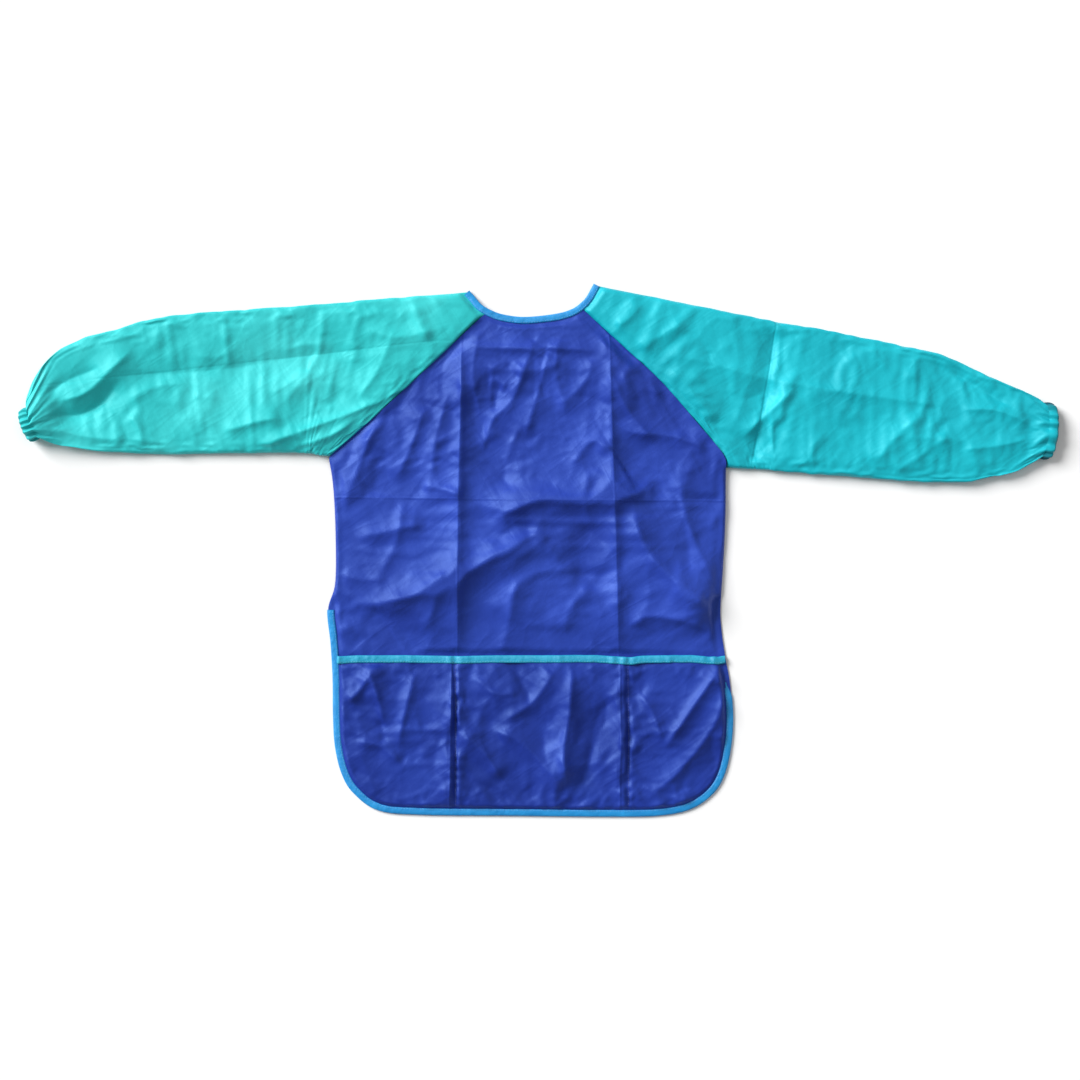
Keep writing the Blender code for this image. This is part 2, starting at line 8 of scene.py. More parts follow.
import bpy
import numpy as np
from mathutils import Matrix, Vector, noise
from mathutils.bvhtree import BVHTree
from mathutils.kdtree import KDTree


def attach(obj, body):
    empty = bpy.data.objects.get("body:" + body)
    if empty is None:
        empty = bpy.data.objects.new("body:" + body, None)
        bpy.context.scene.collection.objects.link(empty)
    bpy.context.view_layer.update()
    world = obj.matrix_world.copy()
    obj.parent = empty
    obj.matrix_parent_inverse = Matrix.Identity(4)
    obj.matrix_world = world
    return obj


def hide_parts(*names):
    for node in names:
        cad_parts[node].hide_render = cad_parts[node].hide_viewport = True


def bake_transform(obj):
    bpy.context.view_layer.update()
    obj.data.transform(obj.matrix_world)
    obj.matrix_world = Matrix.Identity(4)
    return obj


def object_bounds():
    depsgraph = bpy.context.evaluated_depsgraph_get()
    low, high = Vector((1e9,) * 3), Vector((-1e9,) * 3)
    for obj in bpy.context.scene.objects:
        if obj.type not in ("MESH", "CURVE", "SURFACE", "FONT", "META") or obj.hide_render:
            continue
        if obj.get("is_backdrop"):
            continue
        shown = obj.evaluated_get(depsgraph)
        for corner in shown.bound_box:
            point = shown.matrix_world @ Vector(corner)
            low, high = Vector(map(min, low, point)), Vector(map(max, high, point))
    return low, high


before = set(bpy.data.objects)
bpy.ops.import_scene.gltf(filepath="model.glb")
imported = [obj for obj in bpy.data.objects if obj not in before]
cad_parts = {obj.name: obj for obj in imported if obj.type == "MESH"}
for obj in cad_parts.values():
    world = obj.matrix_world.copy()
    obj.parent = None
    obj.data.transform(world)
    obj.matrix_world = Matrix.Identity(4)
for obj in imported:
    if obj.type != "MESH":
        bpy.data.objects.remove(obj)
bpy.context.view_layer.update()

# ------------------------------------------------------------------ front panel
# One piece of coated nylon taffeta, royal blue: the chest between two raglan seams, straight sides and a
# rounded hem. It came out of its packet folded, so it keeps sharp creases and broad slack folds.

SEAM_LEFT = [(-0.0537, 0.2531), (-0.1190, 0.1915), (-0.1750, 0.1400), (-0.2226, 0.0982)]
SEAM_RIGHT = [(0.0411, 0.2580), (0.0902, 0.2121), (0.1285, 0.1767), (0.1667, 0.1325), (0.1933, 0.1002),
              (0.1958, 0.0859)]
NECKLINE = [SEAM_LEFT[0], (-0.0415, 0.2484), (-0.0205, 0.2452), (0.0005, 0.2463), (0.0215, 0.2494),
            (0.0341, 0.2536), SEAM_RIGHT[0]]
SIDE_LEFT = [(-0.2226, 0.0982), (-0.2179, 0.0656), (-0.2155, 0.0152), (-0.2160, -0.0352), (-0.2235, -0.0620),
             (-0.2200, -0.0982), (-0.2179, -0.1360), (-0.2175, -0.1740), (-0.2155, -0.2060),
             (-0.2085, -0.2350), (-0.1960, -0.2555)]
SIDE_RIGHT = [(0.1958, 0.0859), (0.1958, 0.0500), (0.1948, 0.0152), (0.1925, -0.0252), (0.1902, -0.0620),
              (0.1915, -0.0856), (0.1950, -0.1100), (0.2003, -0.1400), (0.2030, -0.1740), (0.2010, -0.2060),
              (0.1945, -0.2350), (0.1825, -0.2555)]
HEM = [(-0.1700, -0.2735), (-0.1250, -0.2780), (-0.0300, -0.2790), (0.0700, -0.2800), (0.1250, -0.2790),
       (0.1590, -0.2720)]
SEAM_HEIGHT = 0.0052  # the raglan seams and neck edge, over the back panels
HEM_HEIGHT = 0.0018
CHEST_HEIGHT = 0.0074
SIDE_HEIGHT = 0.0017
FOLD_ROOM = 0.0210  # how far folds may rise above the pocket's mouth
POCKET_ROOM = 0.0026  # and the height left to the front behind the pocket
TABLE_GAP = 0.0004
POCKET_MOUTH = -0.1120  # y of the pocket's top edge


def line_through(points, count):
    """count points, evenly spaced on a smooth curve through the given ones."""
    knots = np.array(points, float)
    ends = np.vstack([2 * knots[0] - knots[1], knots, 2 * knots[-1] - knots[-2]])
    t = np.linspace(0, 1, 17)[:-1, None]
    runs = [
        0.5 * (2 * b + (c - a) * t + (2 * a - 5 * b + 4 * c - d) * t**2 + (3 * b - a - 3 * c + d) * t**3)
        for a, b, c, d in zip(ends, ends[1:], ends[2:], ends[3:])
    ]
    return spaced(np.vstack([*runs, knots[-1:]]), count)


def distance_along(line):
    """Distance along a line at each of its points."""
    return np.concatenate([[0], np.cumsum(np.linalg.norm(np.diff(line, axis=0), axis=1))])


def spaced(line, count):
    """The same line with count points evenly along it."""
    reach = distance_along(line)
    want = np.linspace(0, reach[-1], count)
    return np.stack([np.interp(want, reach, line[:, k]) for k in range(line.shape[1])], 1)


def smooth(path, times):
    """Evens a path out where it stands. Its two ends stay."""
    for _ in range(times):
        path[1:-1] = (path[:-2] + 2 * path[1:-1] + path[2:]) / 4


def corners_of(line):
    """Where a line round the hem passes the ends of the two sides."""
    return [np.argmin(np.linalg.norm(line - side[-1], axis=1)) for side in (SIDE_LEFT, SIDE_RIGHT)]


def patch(top, left, right, bottom):
    """A grid of points that fills the space between four edges."""
    u = np.linspace(0, 1, len(top))[None, :, None]
    v = np.linspace(0, 1, len(left))[:, None, None]
    corners = (1 - v) * (top[0] * (1 - u) + top[-1] * u) + v * (bottom[0] * (1 - u) + bottom[-1] * u)
    return top[None] * (1 - v) + bottom[None] * v + left[:, None] * (1 - u) + right[:, None] * u - corners


def ease(value, start, end):
    t = np.clip((value - start) / (end - start), 0, 1)
    return t * t * (3 - 2 * t)


def slack(x, y, angle, long, wide, seed):
    """Soft irregular folds, from -1 to 1, that run at an angle in degrees."""
    c, s = math.cos(math.radians(angle)), math.sin(math.radians(angle))
    along, across = (x * c + y * s) / long, (y * c - x * s) / wide
    flat = [noise.noise((a, b, seed * 7.31)) for a, b in zip(along.ravel(), across.ravel())]
    return 2 * np.array(flat).reshape(x.shape)


def linked(name, data):
    """A new object in the scene."""
    made = bpy.data.objects.new(name, data)
    bpy.context.scene.collection.objects.link(made)
    return made


def cloth_piece(name, grid, flat, round_grid=False):
    """A mesh over a grid of points, with flat distances in metres as its map (one more column if round)."""
    rows, cols = grid.shape[:2]
    ring = cols if round_grid else cols - 1
    r, c = np.meshgrid(np.arange(rows - 1), np.arange(ring), indexing="ij")
    step = (c + 1) % cols
    corners = np.stack([r * cols + c, (r + 1) * cols + c, (r + 1) * cols + step, r * cols + step], -1)
    maps = np.stack([flat[r, c], flat[r + 1, c], flat[r + 1, c + 1], flat[r, c + 1]], 2)
    mesh = bpy.data.meshes.new(name)
    mesh.from_pydata(grid.reshape(-1, 3).tolist(), [], corners.reshape(-1, 4).tolist())
    layer = mesh.uv_layers.new(name="flat")
    layer.data.foreach_set("uv", maps.ravel())
    mesh.shade_smooth()
    return linked(name, mesh)


def points_of(obj):
    flat = np.empty(len(obj.data.vertices) * 3)
    obj.data.vertices.foreach_get("co", flat)
    return flat.reshape(-1, 3)


def set_points(obj, points):
    obj.data.vertices.foreach_set("co", points.ravel())
    obj.data.update()


def finer(obj):
    """The piece with each square of its mesh split in four and smoothed."""
    split = obj.modifiers.new("Finer", "SUBSURF")
    split.levels = split.render_levels = 1
    bpy.context.view_layer.update()
    old = obj.data
    made = bpy.data.meshes.new_from_object(obj.evaluated_get(bpy.context.evaluated_depsgraph_get()))
    obj.modifiers.remove(split)
    obj.data = made
    bpy.data.meshes.remove(old)
    made.shade_smooth()


def settle(obj, held, growth, support, cap, frames=22, stiff=1.2):
    """Drops slack cloth, cut larger than its place by growth, on to what lies under it. Held points stay."""
    scene = bpy.context.scene
    under = bpy.data.collections.new(obj.name + "_under")
    scene.collection.children.link(under)
    table = cloth_piece(obj.name + "_table", support, support[..., :2])
    scene.collection.objects.unlink(table)
    under.objects.link(table)
    table.modifiers.new("Collision", "COLLISION")
    table.collision.thickness_outer = 0.0006
    table.collision.cloth_friction = 20
    start = points_of(obj)
    group = obj.vertex_groups.new(name="held")
    group.add([int(k) for k in np.flatnonzero(held)], 1, "REPLACE")
    cloth = obj.modifiers.new("Cloth", "CLOTH")
    put = cloth.settings
    put.quality = 5
    put.mass = 0.15
    put.tension_stiffness = put.compression_stiffness = 25
    put.shear_stiffness = 12
    put.bending_stiffness = stiff
    put.tension_damping = put.compression_damping = put.shear_damping = 12
    put.bending_damping = 1
    put.air_damping = 3
    put.vertex_group_mass = "held"
    put.pin_stiffness = 50
    put.shrink_min = -growth
    cloth.collision_settings.collection = under
    cloth.collision_settings.distance_min = 0.0008
    cloth.point_cache.frame_start, cloth.point_cache.frame_end = 1, frames
    for number in range(1, frames + 1):
        scene.frame_set(number)
    shaped = obj.evaluated_get(bpy.context.evaluated_depsgraph_get()).to_mesh()
    flat = np.empty(len(shaped.vertices) * 3)
    shaped.vertices.foreach_get("co", flat)
    moved = flat.reshape(-1, 3) - start
    far = np.linalg.norm(moved, axis=1, keepdims=True)
    obj.modifiers.remove(cloth)
    obj.vertex_groups.remove(group)
    bpy.data.objects.remove(table)
    bpy.data.collections.remove(under)
    scene.frame_set(1)
    set_points(obj, start + moved * np.minimum(1, cap / np.maximum(far, 1e-9)))


def support_under(low, high, height, step=0.012):
    """A grid of points under a piece, at the height that a function of x and y gives."""
    x, y = np.meshgrid(np.arange(low[0], high[0] + step, step), np.arange(high[1] + step, low[1], -step))
    return np.stack([x, y, height(x, y)], -1)


def torso_height(x, y, chest, hem):
    return hem + (chest - hem) * ease(y, -0.105, -0.045)


seam_left, seam_right = line_through(SEAM_LEFT, 46), line_through(SEAM_RIGHT, 46)
round_hem = line_through([*SIDE_LEFT, *HEM, *SIDE_RIGHT[::-1]], 400)
corner = corners_of(round_hem)
side_left, side_right = spaced(round_hem[: corner[0] + 1], 72), spaced(round_hem[corner[1] :][::-1], 72)
neck_edge = line_through(NECKLINE, 84)
hem_edge = spaced(round_hem[corner[0] : corner[1] + 1], 84)
left_edge, right_edge = np.vstack([seam_left, side_left[1:]]), np.vstack([seam_right, side_right[1:]])
plan = patch(neck_edge, left_edge, right_edge, hem_edge)
x, y = plan[..., 0], plan[..., 1]
rows, cols = x.shape
# Rough distances in metres from the front's edges
inward = np.minimum(np.arange(cols), np.arange(cols)[::-1])[None, :] * 0.0049 + 0 * x
below_neck = np.arange(rows)[:, None] * 0.0040 + 0 * x
above_hem = np.arange(rows)[::-1][:, None] * 0.0050 + 0 * x
armpit = np.where(x < 0, SEAM_LEFT[-1][1], SEAM_RIGHT[-1][1])
loose = 0.30 + 0.70 * ease(y, -0.115, -0.060)
folds = (
    0.0030 * slack(x, y, -38, 0.240, 0.060, 1)
    + 0.0026 * slack(x, y, 52, 0.200, 0.045, 2)
    + 0.0014 * slack(x, y, -12, 0.110, 0.024, 3)
    + 0.0009 * slack(x, y, 75, 0.060, 0.014, 4)
)
z = torso_height(x, y, CHEST_HEIGHT, HEM_HEIGHT)
side_drop = ease(inward, 0.0, 0.012)
at_side = ease(armpit - y, -0.004, 0.016)
edge_height = SEAM_HEIGHT * (1 - at_side) + SIDE_HEIGHT * at_side
z = edge_height + (z + folds * loose - edge_height) * np.where(at_side > 0, side_drop, 1)
z = np.where(below_neck < 0.012, SEAM_HEIGHT + (z - SEAM_HEIGHT) * ease(below_neck, 0, 0.012), z)
z = np.where(above_hem < 0.012, HEM_HEIGHT + (z - HEM_HEIGHT) * ease(above_hem, 0, 0.012), z)
z[0, :] = SEAM_HEIGHT
over_back = torso_height(x, y, 0.0036, 0.0014) * np.where(at_side > 0.5, side_drop, 1)
grid = np.dstack([plan, np.maximum(z, over_back)])
front = cloth_piece("front_panel_cloth", grid, plan)
held = np.zeros((rows, cols), bool)
held[0, :] = held[-1, :] = held[:, 0] = held[:, -1] = True
under_front = support_under((-0.25, -0.30), (0.25, 0.27), lambda a, b: torso_height(a, b, 0.0032, 0.0008))
settle(front, held.ravel(), 0.005, under_front, 0.010)
finer(front)


def fold(points, path, height, lit, shaded):
    """Height of a crisp fold along a path. It falls away over lit metres to the left, shaded to the right."""
    line = line_through(path, 22)
    reach = 4 * max(lit, shaded)
    inside = (points[:, :2] > line.min(0) - reach) & (points[:, :2] < line.max(0) + reach)
    near = np.flatnonzero(inside.all(1))
    step = np.diff(line, axis=0)
    gap = points[near, None, :2] - line[None, :-1]
    share = np.clip((gap * step).sum(-1) / (step**2).sum(-1), 0, 1)
    gap = gap - share[..., None] * step
    far = np.linalg.norm(gap, axis=-1)
    first = far.argmin(1)
    pick = np.arange(len(near))
    gap, far = gap[pick, first], far[pick, first]
    left = step[first, 0] * gap[:, 1] - step[first, 1] * gap[:, 0] > 0
    run = (first + share[pick, first]) / len(step)
    rounded = np.sqrt(far**2 + 0.0009**2) - 0.0009
    rise = np.zeros(len(points))
    ends = ease(run, 0, 0.22) * (1 - ease(run, 0.78, 1))
    rise[near] = height * np.exp(-rounded / np.where(left, lit, shaded)) * ends
    return rise


def crumples(points, low, high, count, height, seed, angle=None, long=(0.020, 0.055), wide=(0.004, 0.009)):
    """Many crisp folds, scattered in a box and each a little bent."""
    pick = np.random.default_rng(seed)
    rise = np.zeros(len(points))
    for _ in range(count):
        at = pick.uniform(low, high)
        turn = math.radians(pick.uniform(0, 180) if angle is None else angle + pick.normal(0, 22))
        way = np.array([math.cos(turn), math.sin(turn)])
        side_way = np.array([-way[1], way[0]])
        half = pick.uniform(*long) / 2
        path = [at - way * half, at + side_way * half * pick.uniform(-0.3, 0.3), at + way * half]
        tall = height * pick.uniform(0.35, 1.0) * pick.choice([1, 1, -1])
        rise += fold(points, path, tall, pick.uniform(*wide), pick.uniform(*wide))
    return rise


def search_tree(line):
    """A line's points as seen from above, ready for finding the nearest."""
    tree = KDTree(len(line))
    for k, place in enumerate(line):
        tree.insert((place[0], place[1], 0), k)
    tree.balance()
    return tree


def away_from(points, line):
    """Distance in the plane from each point to the nearest of a line's points."""
    tree = search_tree(line)
    return np.array([tree.find((px, py, 0))[2] for px, py in points[:, :2]])


def tuck(points, path, reach=0.0075, lift=0.0003):
    """Keeps the cloth that lies inside a folded tape down at the height of the tape's path."""
    tree = search_tree(path)
    for k, (px, py, pz) in enumerate(points):
        _, nearest, gap = tree.find((px, py, 0))
        top = path[nearest][2] + lift
        if gap < reach + 0.004 and pz > top:
            points[k, 2] = top + (pz - top) * float(ease(gap, reach, reach + 0.004))


# The long folds of the front: path, height, width of the lit side, width of the shaded side
FRONT_FOLDS = [
    ([(-0.0547, 0.0209), (-0.0417, 0.0354), (-0.0126, 0.0490), (0.0106, 0.0528), (0.0455, 0.0508),
      (0.0775, 0.0557), (0.1036, 0.0601), (0.1180, 0.0804)], 0.0080, 0.024, 0.010),
    ([(-0.1870, -0.0740), (-0.1724, -0.0567), (-0.1433, -0.0503), (-0.1056, -0.0372), (-0.0794, -0.0242),
      (-0.0446, -0.0053), (-0.0213, 0.0078), (0.0060, 0.0280)], 0.0078, 0.020, 0.014),
    ([(-0.0560, -0.0350), (-0.0200, -0.0060), (0.0100, 0.0150), (0.0500, 0.0250)], 0.0035, 0.020, 0.020),
    ([(-0.2120, 0.0380), (-0.1927, 0.0804), (-0.1724, 0.1356), (-0.1600, 0.1500)], 0.0035, 0.010, 0.012),
    ([(-0.0830, 0.1660), (-0.0562, 0.1153), (-0.0417, 0.0833), (-0.0242, 0.0560)], -0.0035, 0.016, 0.014),
    ([(-0.0610, 0.1000), (-0.0504, 0.1356), (-0.0271, 0.1618), (-0.0097, 0.2080)], 0.0030, 0.010, 0.009),
    ([(-0.0175, 0.1150), (-0.0039, 0.1589), (0.0106, 0.2141)], 0.0030, 0.012, 0.012),
    ([(0.1220, 0.1120), (0.0920, 0.1472), (0.0760, 0.1860)], 0.0026, 0.008, 0.010),
    ([(0.0740, 0.1380), (0.0978, 0.1240), (0.1400, 0.1200), (0.1800, 0.1050)], 0.0024, 0.008, 0.007),
    ([(0.0180, 0.1500), (0.0480, 0.1780), (0.0560, 0.2050)], 0.0028, 0.014, 0.012),
    ([(0.0300, 0.0850), (0.0550, 0.1150), (0.0740, 0.1000)], 0.0024, 0.010, 0.007),
    ([(0.1900, -0.0740), (0.1704, -0.0561), (0.1327, -0.0242), (0.1065, 0.0107), (0.0960, 0.0560)],
     0.0080, 0.018, 0.024),
    ([(0.1840, -0.0360), (0.1640, 0.0060), (0.1500, 0.0480), (0.1460, 0.0900)], 0.0034, 0.014, 0.010),
    ([(0.0862, -0.0860), (0.1123, -0.0692), (0.1472, -0.0736), (0.1879, -0.0860)], 0.0032, 0.012, 0.007),
    ([(-0.0840, 0.2135), (-0.0300, 0.2125), (0.0200, 0.2120), (0.0700, 0.2097)], 0.0026, 0.010, 0.006),
    ([(-0.0329, -0.0800), (-0.0290, -0.0450), (-0.0039, -0.0242), (0.0450, -0.0184)], 0.0026, 0.014, 0.014),
    ([(0.0250, -0.0900), (0.0320, -0.0600), (0.0560, -0.0330)], 0.0024, 0.016, 0.012),
    ([(-0.2131, -0.0242), (-0.1900, -0.0300), (-0.1580, -0.0300)], 0.0020, 0.008, 0.005),
    ([(-0.1950, 0.0120), (-0.1700, 0.0180), (-0.1180, 0.0290)], 0.0026, 0.010, 0.006),
    ([(-0.1700, -0.0300), (-0.1500, 0.0120), (-0.1440, 0.0560)], 0.0024, 0.010, 0.010),
    ([(-0.1540, 0.0700), (-0.1350, 0.1100), (-0.1200, 0.1560)], 0.0030, 0.012, 0.009),
    ([(-0.1150, 0.0700), (-0.1100, 0.1150), (-0.0950, 0.1700)], 0.0022, 0.010, 0.008),
    ([(-0.1260, 0.0680), (-0.1000, 0.0640), (-0.0800, 0.0560)], 0.0034, 0.008, 0.006),
    ([(-0.1280, -0.0900), (-0.1120, -0.0620), (-0.1000, -0.0150)], 0.0024, 0.016, 0.010),
]
FRONT_GAIN, SLEEVE_GAIN, POCKET_GAIN = 1.8, 1.2, 2.1  # how much each piece's folds are heightened
# The creases it took in its packet
FRONT_CREASES = [
    ([(-0.0870, -0.140), (-0.0862, 0.000), (-0.0835, 0.120), (-0.0820, 0.245)], 0.0086, 0.016, 0.008),
    ([(-0.0060, 0.080), (-0.0060, 0.160), (-0.0060, 0.262)], -0.0014, 0.010, 0.010),
    ([(0.0830, -0.140), (0.0800, 0.000), (0.0755, 0.110), (0.0720, 0.245)], 0.0080, 0.016, 0.008),
    ([(-0.240, 0.0550), (-0.100, 0.0560), (0.060, 0.0540), (0.215, 0.0510)], 0.0016, 0.006, 0.006),
]

pressed = points_of(front)
rise = FRONT_GAIN * sum(fold(pressed, *one) for one in FRONT_FOLDS)
rise += sum(fold(pressed, *one) for one in FRONT_CREASES)
rise += crumples(pressed, (-0.21, -0.10), (0.19, 0.22), 40, 0.0036, 4, None, (0.040, 0.110), (0.007, 0.018))
rise += crumples(pressed, (-0.21, -0.10), (0.19, 0.10), 44, 0.0017, 5)
rise += crumples(pressed, (-0.20, 0.06), (-0.02, 0.20), 48, 0.0022, 6)
rise += crumples(pressed, (-0.02, 0.06), (0.17, 0.23), 34, 0.0018, 7)
rise += 0.0022 * (1 - (pressed[:, 0] / 0.21) ** 2)
outline = np.vstack([neck_edge, seam_left, seam_right, round_hem])
before = pressed[:, 2].copy()
pressed[:, 2] += rise * ease(away_from(pressed, outline), 0.001, 0.014)
ceiling = POCKET_ROOM + FOLD_ROOM * ease(pressed[:, 1], POCKET_MOUTH + 0.002, POCKET_MOUTH + 0.024)
lowest = np.minimum(before, torso_height(pressed[:, 0], pressed[:, 1], 0.0048, 0.0014))
pressed[:, 2] = np.clip(pressed[:, 2], lowest, np.maximum(lowest, ceiling))
NECK_ENDS = {"left": [(-0.0751, 0.2735), (-0.0688, 0.2665), (-0.0625, 0.2588), SEAM_LEFT[0]],
             "right": [(0.0572, 0.2809), (0.0490, 0.2660), SEAM_RIGHT[0]]}
END_COUNT, END_HEIGHT = 14, 0.0022  # the neck tape's ends, over the sleeves and down to the back panels
over_left, over_right = (line_through(NECK_ENDS[side], END_COUNT) for side in ("left", "right"))
neck_line = np.vstack([over_left, neck_edge[1:-1], over_right[::-1]])
heights = np.full(len(neck_line), SEAM_HEIGHT)
heights[:END_COUNT] = END_HEIGHT + (SEAM_HEIGHT - END_HEIGHT) * ease(np.arange(END_COUNT), 0, END_COUNT - 2)
heights[-END_COUNT:] = heights[:END_COUNT][::-1]
neck_path = spaced(np.column_stack([neck_line, heights]), 210)
smooth(neck_path, 6)
tuck(pressed, neck_path)
tuck(pressed, np.column_stack([round_hem, np.full(len(round_hem), HEM_HEIGHT)])[round_hem[:, 1] < -0.055])
set_points(front, pressed)


def new_finish(name, **values):
    """A finish with its shader's fixed values set, its nodes and its shader."""
    paint = bpy.data.materials.new(name)
    paint.use_nodes = True
    tree = paint.node_tree
    shader = tree.nodes["Principled BSDF"]
    for key, value in values.items():
        shader.inputs[key.replace("_", " ")].default_value = value
    return paint, tree, shader


def add(tree, kind, **values):
    """A new shader node. Each value sets the input of that name, or else the property."""
    made = tree.nodes.new("ShaderNode" + kind)
    for key, value in values.items():
        socket = key.replace("_", " ")
        if socket in made.inputs:
            made.inputs[socket].default_value = value
        else:
            setattr(made, key, value)
    return made


def math_of(tree, operation, first, second=None, clamp=False):
    made = add(tree, "Math", operation=operation, use_clamp=clamp)
    for socket, value in zip(made.inputs, (first, second)):
        if isinstance(value, (int, float)):
            socket.default_value = value
        elif value is not None:
            tree.links.new(value, socket)
    return made.outputs[0]


def plus(tree, height, value, strength):
    """A height with strength times a value added to it."""
    return math_of(tree, "ADD", height, math_of(tree, "MULTIPLY", value, strength))


def flat_map(tree):
    return add(tree, "UVMap", uv_map="flat").outputs["UV"]


def ramped(tree, shader, value, *stops):
    """Gives the shader its base colour, from a value through stops of position and colour."""
    tone = add(tree, "ValToRGB")
    elements = tone.color_ramp.elements
    for element, (position, colour) in zip(elements, (stops[0], stops[-1])):
        element.position, element.color = position, (*colour, 1)
    for position, colour in stops[1:-1]:
        elements.new(position).color = (*colour, 1)
    tree.links.new(value, tone.inputs["Fac"])
    tree.links.new(tone.outputs["Color"], shader.inputs["Base Color"])


def roughened(tree, shader, value, least, most):
    rough = add(tree, "MapRange", To_Min=least, To_Max=most)
    tree.links.new(value, rough.inputs["Value"])
    tree.links.new(rough.outputs["Result"], shader.inputs["Roughness"])


def bumped(tree, shader, height, **values):
    bump = add(tree, "Bump", **values)
    tree.links.new(height, bump.inputs["Height"])
    tree.links.new(bump.outputs["Normal"], shader.inputs["Normal"])


THREAD_PITCH = 0.00042  # between the threads of the nylon's weave
CREASE_WIDTH = 0.0020


def coated_nylon(name, base, deep, pale, gloss, shine, creases=()):
    """Taffeta with a thin clear coating: fine plain weave, small crumples, pressed lines and a soft shine."""
    paint, tree, shader = new_finish(
        name, Sheen_Weight=0.03, Sheen_Roughness=0.45, Sheen_Tint=(*pale, 1), Specular_IOR_Level=0.80,
        Specular_Tint=(*shine, 1), Coat_Weight=0.02, Coat_Roughness=0.34,
    )
    place = flat_map(tree)

    def wool(scale, detail, distortion=0.0):
        made = add(tree, "TexNoise", Scale=scale, Detail=detail, Distortion=distortion)
        tree.links.new(place, made.inputs["Vector"])
        return made.outputs["Fac"]

    def drawn_out(vector, turn, long, wide):
        made = add(tree, "Mapping", vector_type="TEXTURE", Rotation=(0, 0, turn), Scale=(long, wide, 1))
        tree.links.new(vector, made.inputs["Vector"])
        return made.outputs["Vector"]

    ramped(tree, shader, wool(9, 3), (0.32, deep), (0.5, base), (0.70, pale))
    roughened(tree, shader, wool(60, 4), gloss - 0.06, gloss + 0.10)

    # Soft crumples, then small flat facets with swaying edges, then long faint streaks
    height = math_of(tree, "MULTIPLY", wool(26, 5, 0.9), 0.0006)
    height = plus(tree, height, wool(150, 3, 0.3), 0.00014)
    sway = add(tree, "TexNoise", Scale=24, Detail=3)
    tree.links.new(place, sway.inputs["Vector"])
    swayed = add(tree, "VectorMath", operation="MULTIPLY_ADD")
    tree.links.new(sway.outputs["Color"], swayed.inputs[0])
    swayed.inputs[1].default_value = (0.022, 0.022, 0)
    tree.links.new(place, swayed.inputs[2])
    for turn, long, wide, strength in ((0.9, 0.050, 0.024, 0.0014), (2.4, 0.022, 0.013, 0.0004)):
        facets = add(tree, "TexVoronoi", feature="F1", Scale=1)
        tree.links.new(drawn_out(swayed.outputs[0], turn, long, wide), facets.inputs["Vector"])
        height = plus(tree, height, facets.outputs["Distance"], strength)
    for turn, strength in ((0.6, -0.0014), (2.1, -0.0012)):
        streak = add(tree, "TexNoise", Scale=1, Detail=2, Distortion=0.4)
        tree.links.new(drawn_out(place, turn, 0.075, 0.018), streak.inputs["Vector"])
        sharp = math_of(tree, "ABSOLUTE", math_of(tree, "SUBTRACT", streak.outputs["Fac"], 0.5))
        height = plus(tree, height, sharp, strength)

    # Pressed creases, each from one point of the flat map to another, and the weave
    split = add(tree, "SeparateXYZ")
    tree.links.new(place, split.inputs[0])
    for (ax, ay), (bx, by), strength in creases:
        length = math.hypot(bx - ax, by - ay)
        nx, ny = -(by - ay) / length, (bx - ax) / length
        off = plus(tree, math_of(tree, "MULTIPLY", split.outputs[0], nx), split.outputs[1], ny)
        off = math_of(tree, "ABSOLUTE", math_of(tree, "SUBTRACT", off, ax * nx + ay * ny))
        ridge = math_of(tree, "SUBTRACT", 1.0, math_of(tree, "DIVIDE", off, CREASE_WIDTH), clamp=True)
        height = plus(tree, height, ridge, strength)
    warp, weft = (
        math_of(tree, "SINE", math_of(tree, "MULTIPLY", split.outputs[axis], 2 * math.pi / THREAD_PITCH))
        for axis in (0, 1)
    )
    height = plus(tree, height, math_of(tree, "MULTIPLY", warp, weft), 0.00001)
    bumped(tree, shader, height, Distance=1.0, Strength=0.85)
    return paint


BLUE_SHINE = (0.30, 0.52, 1.0)
blue_cloth = coated_nylon(
    "royal_blue_coated_nylon", (0.015, 0.040, 0.335), (0.012, 0.031, 0.285), (0.022, 0.054, 0.405), 0.52,
    BLUE_SHINE,
    [((-0.0820, 0.245), (-0.0870, -0.140), 0.0003), ((0.0720, 0.245), (0.0830, -0.140), 0.0003),
     ((-0.240, 0.056), (0.215, 0.052), 0.0003)],
)
front.data.materials.append(blue_cloth)
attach(front, "smock_body")
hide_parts("front_panel")

# ------------------------------------------------------------------ back panels
# Two pieces of the same blue nylon, from the back raglan seam and the side to a curved open edge. They lie
# flat under the front, unfastened.

BACK_SEAM = {"left": (-0.0655, 0.2595), "right": (0.0490, 0.2665)}
BACK_HEIGHT = {"left": 0.0019, "right": 0.0011}
FLAP_FOOT = -0.0260


def side_x(side, height):
    line = side_left if side == "left" else side_right
    return float(np.interp(-height, -line[:, 1], line[:, 0]))


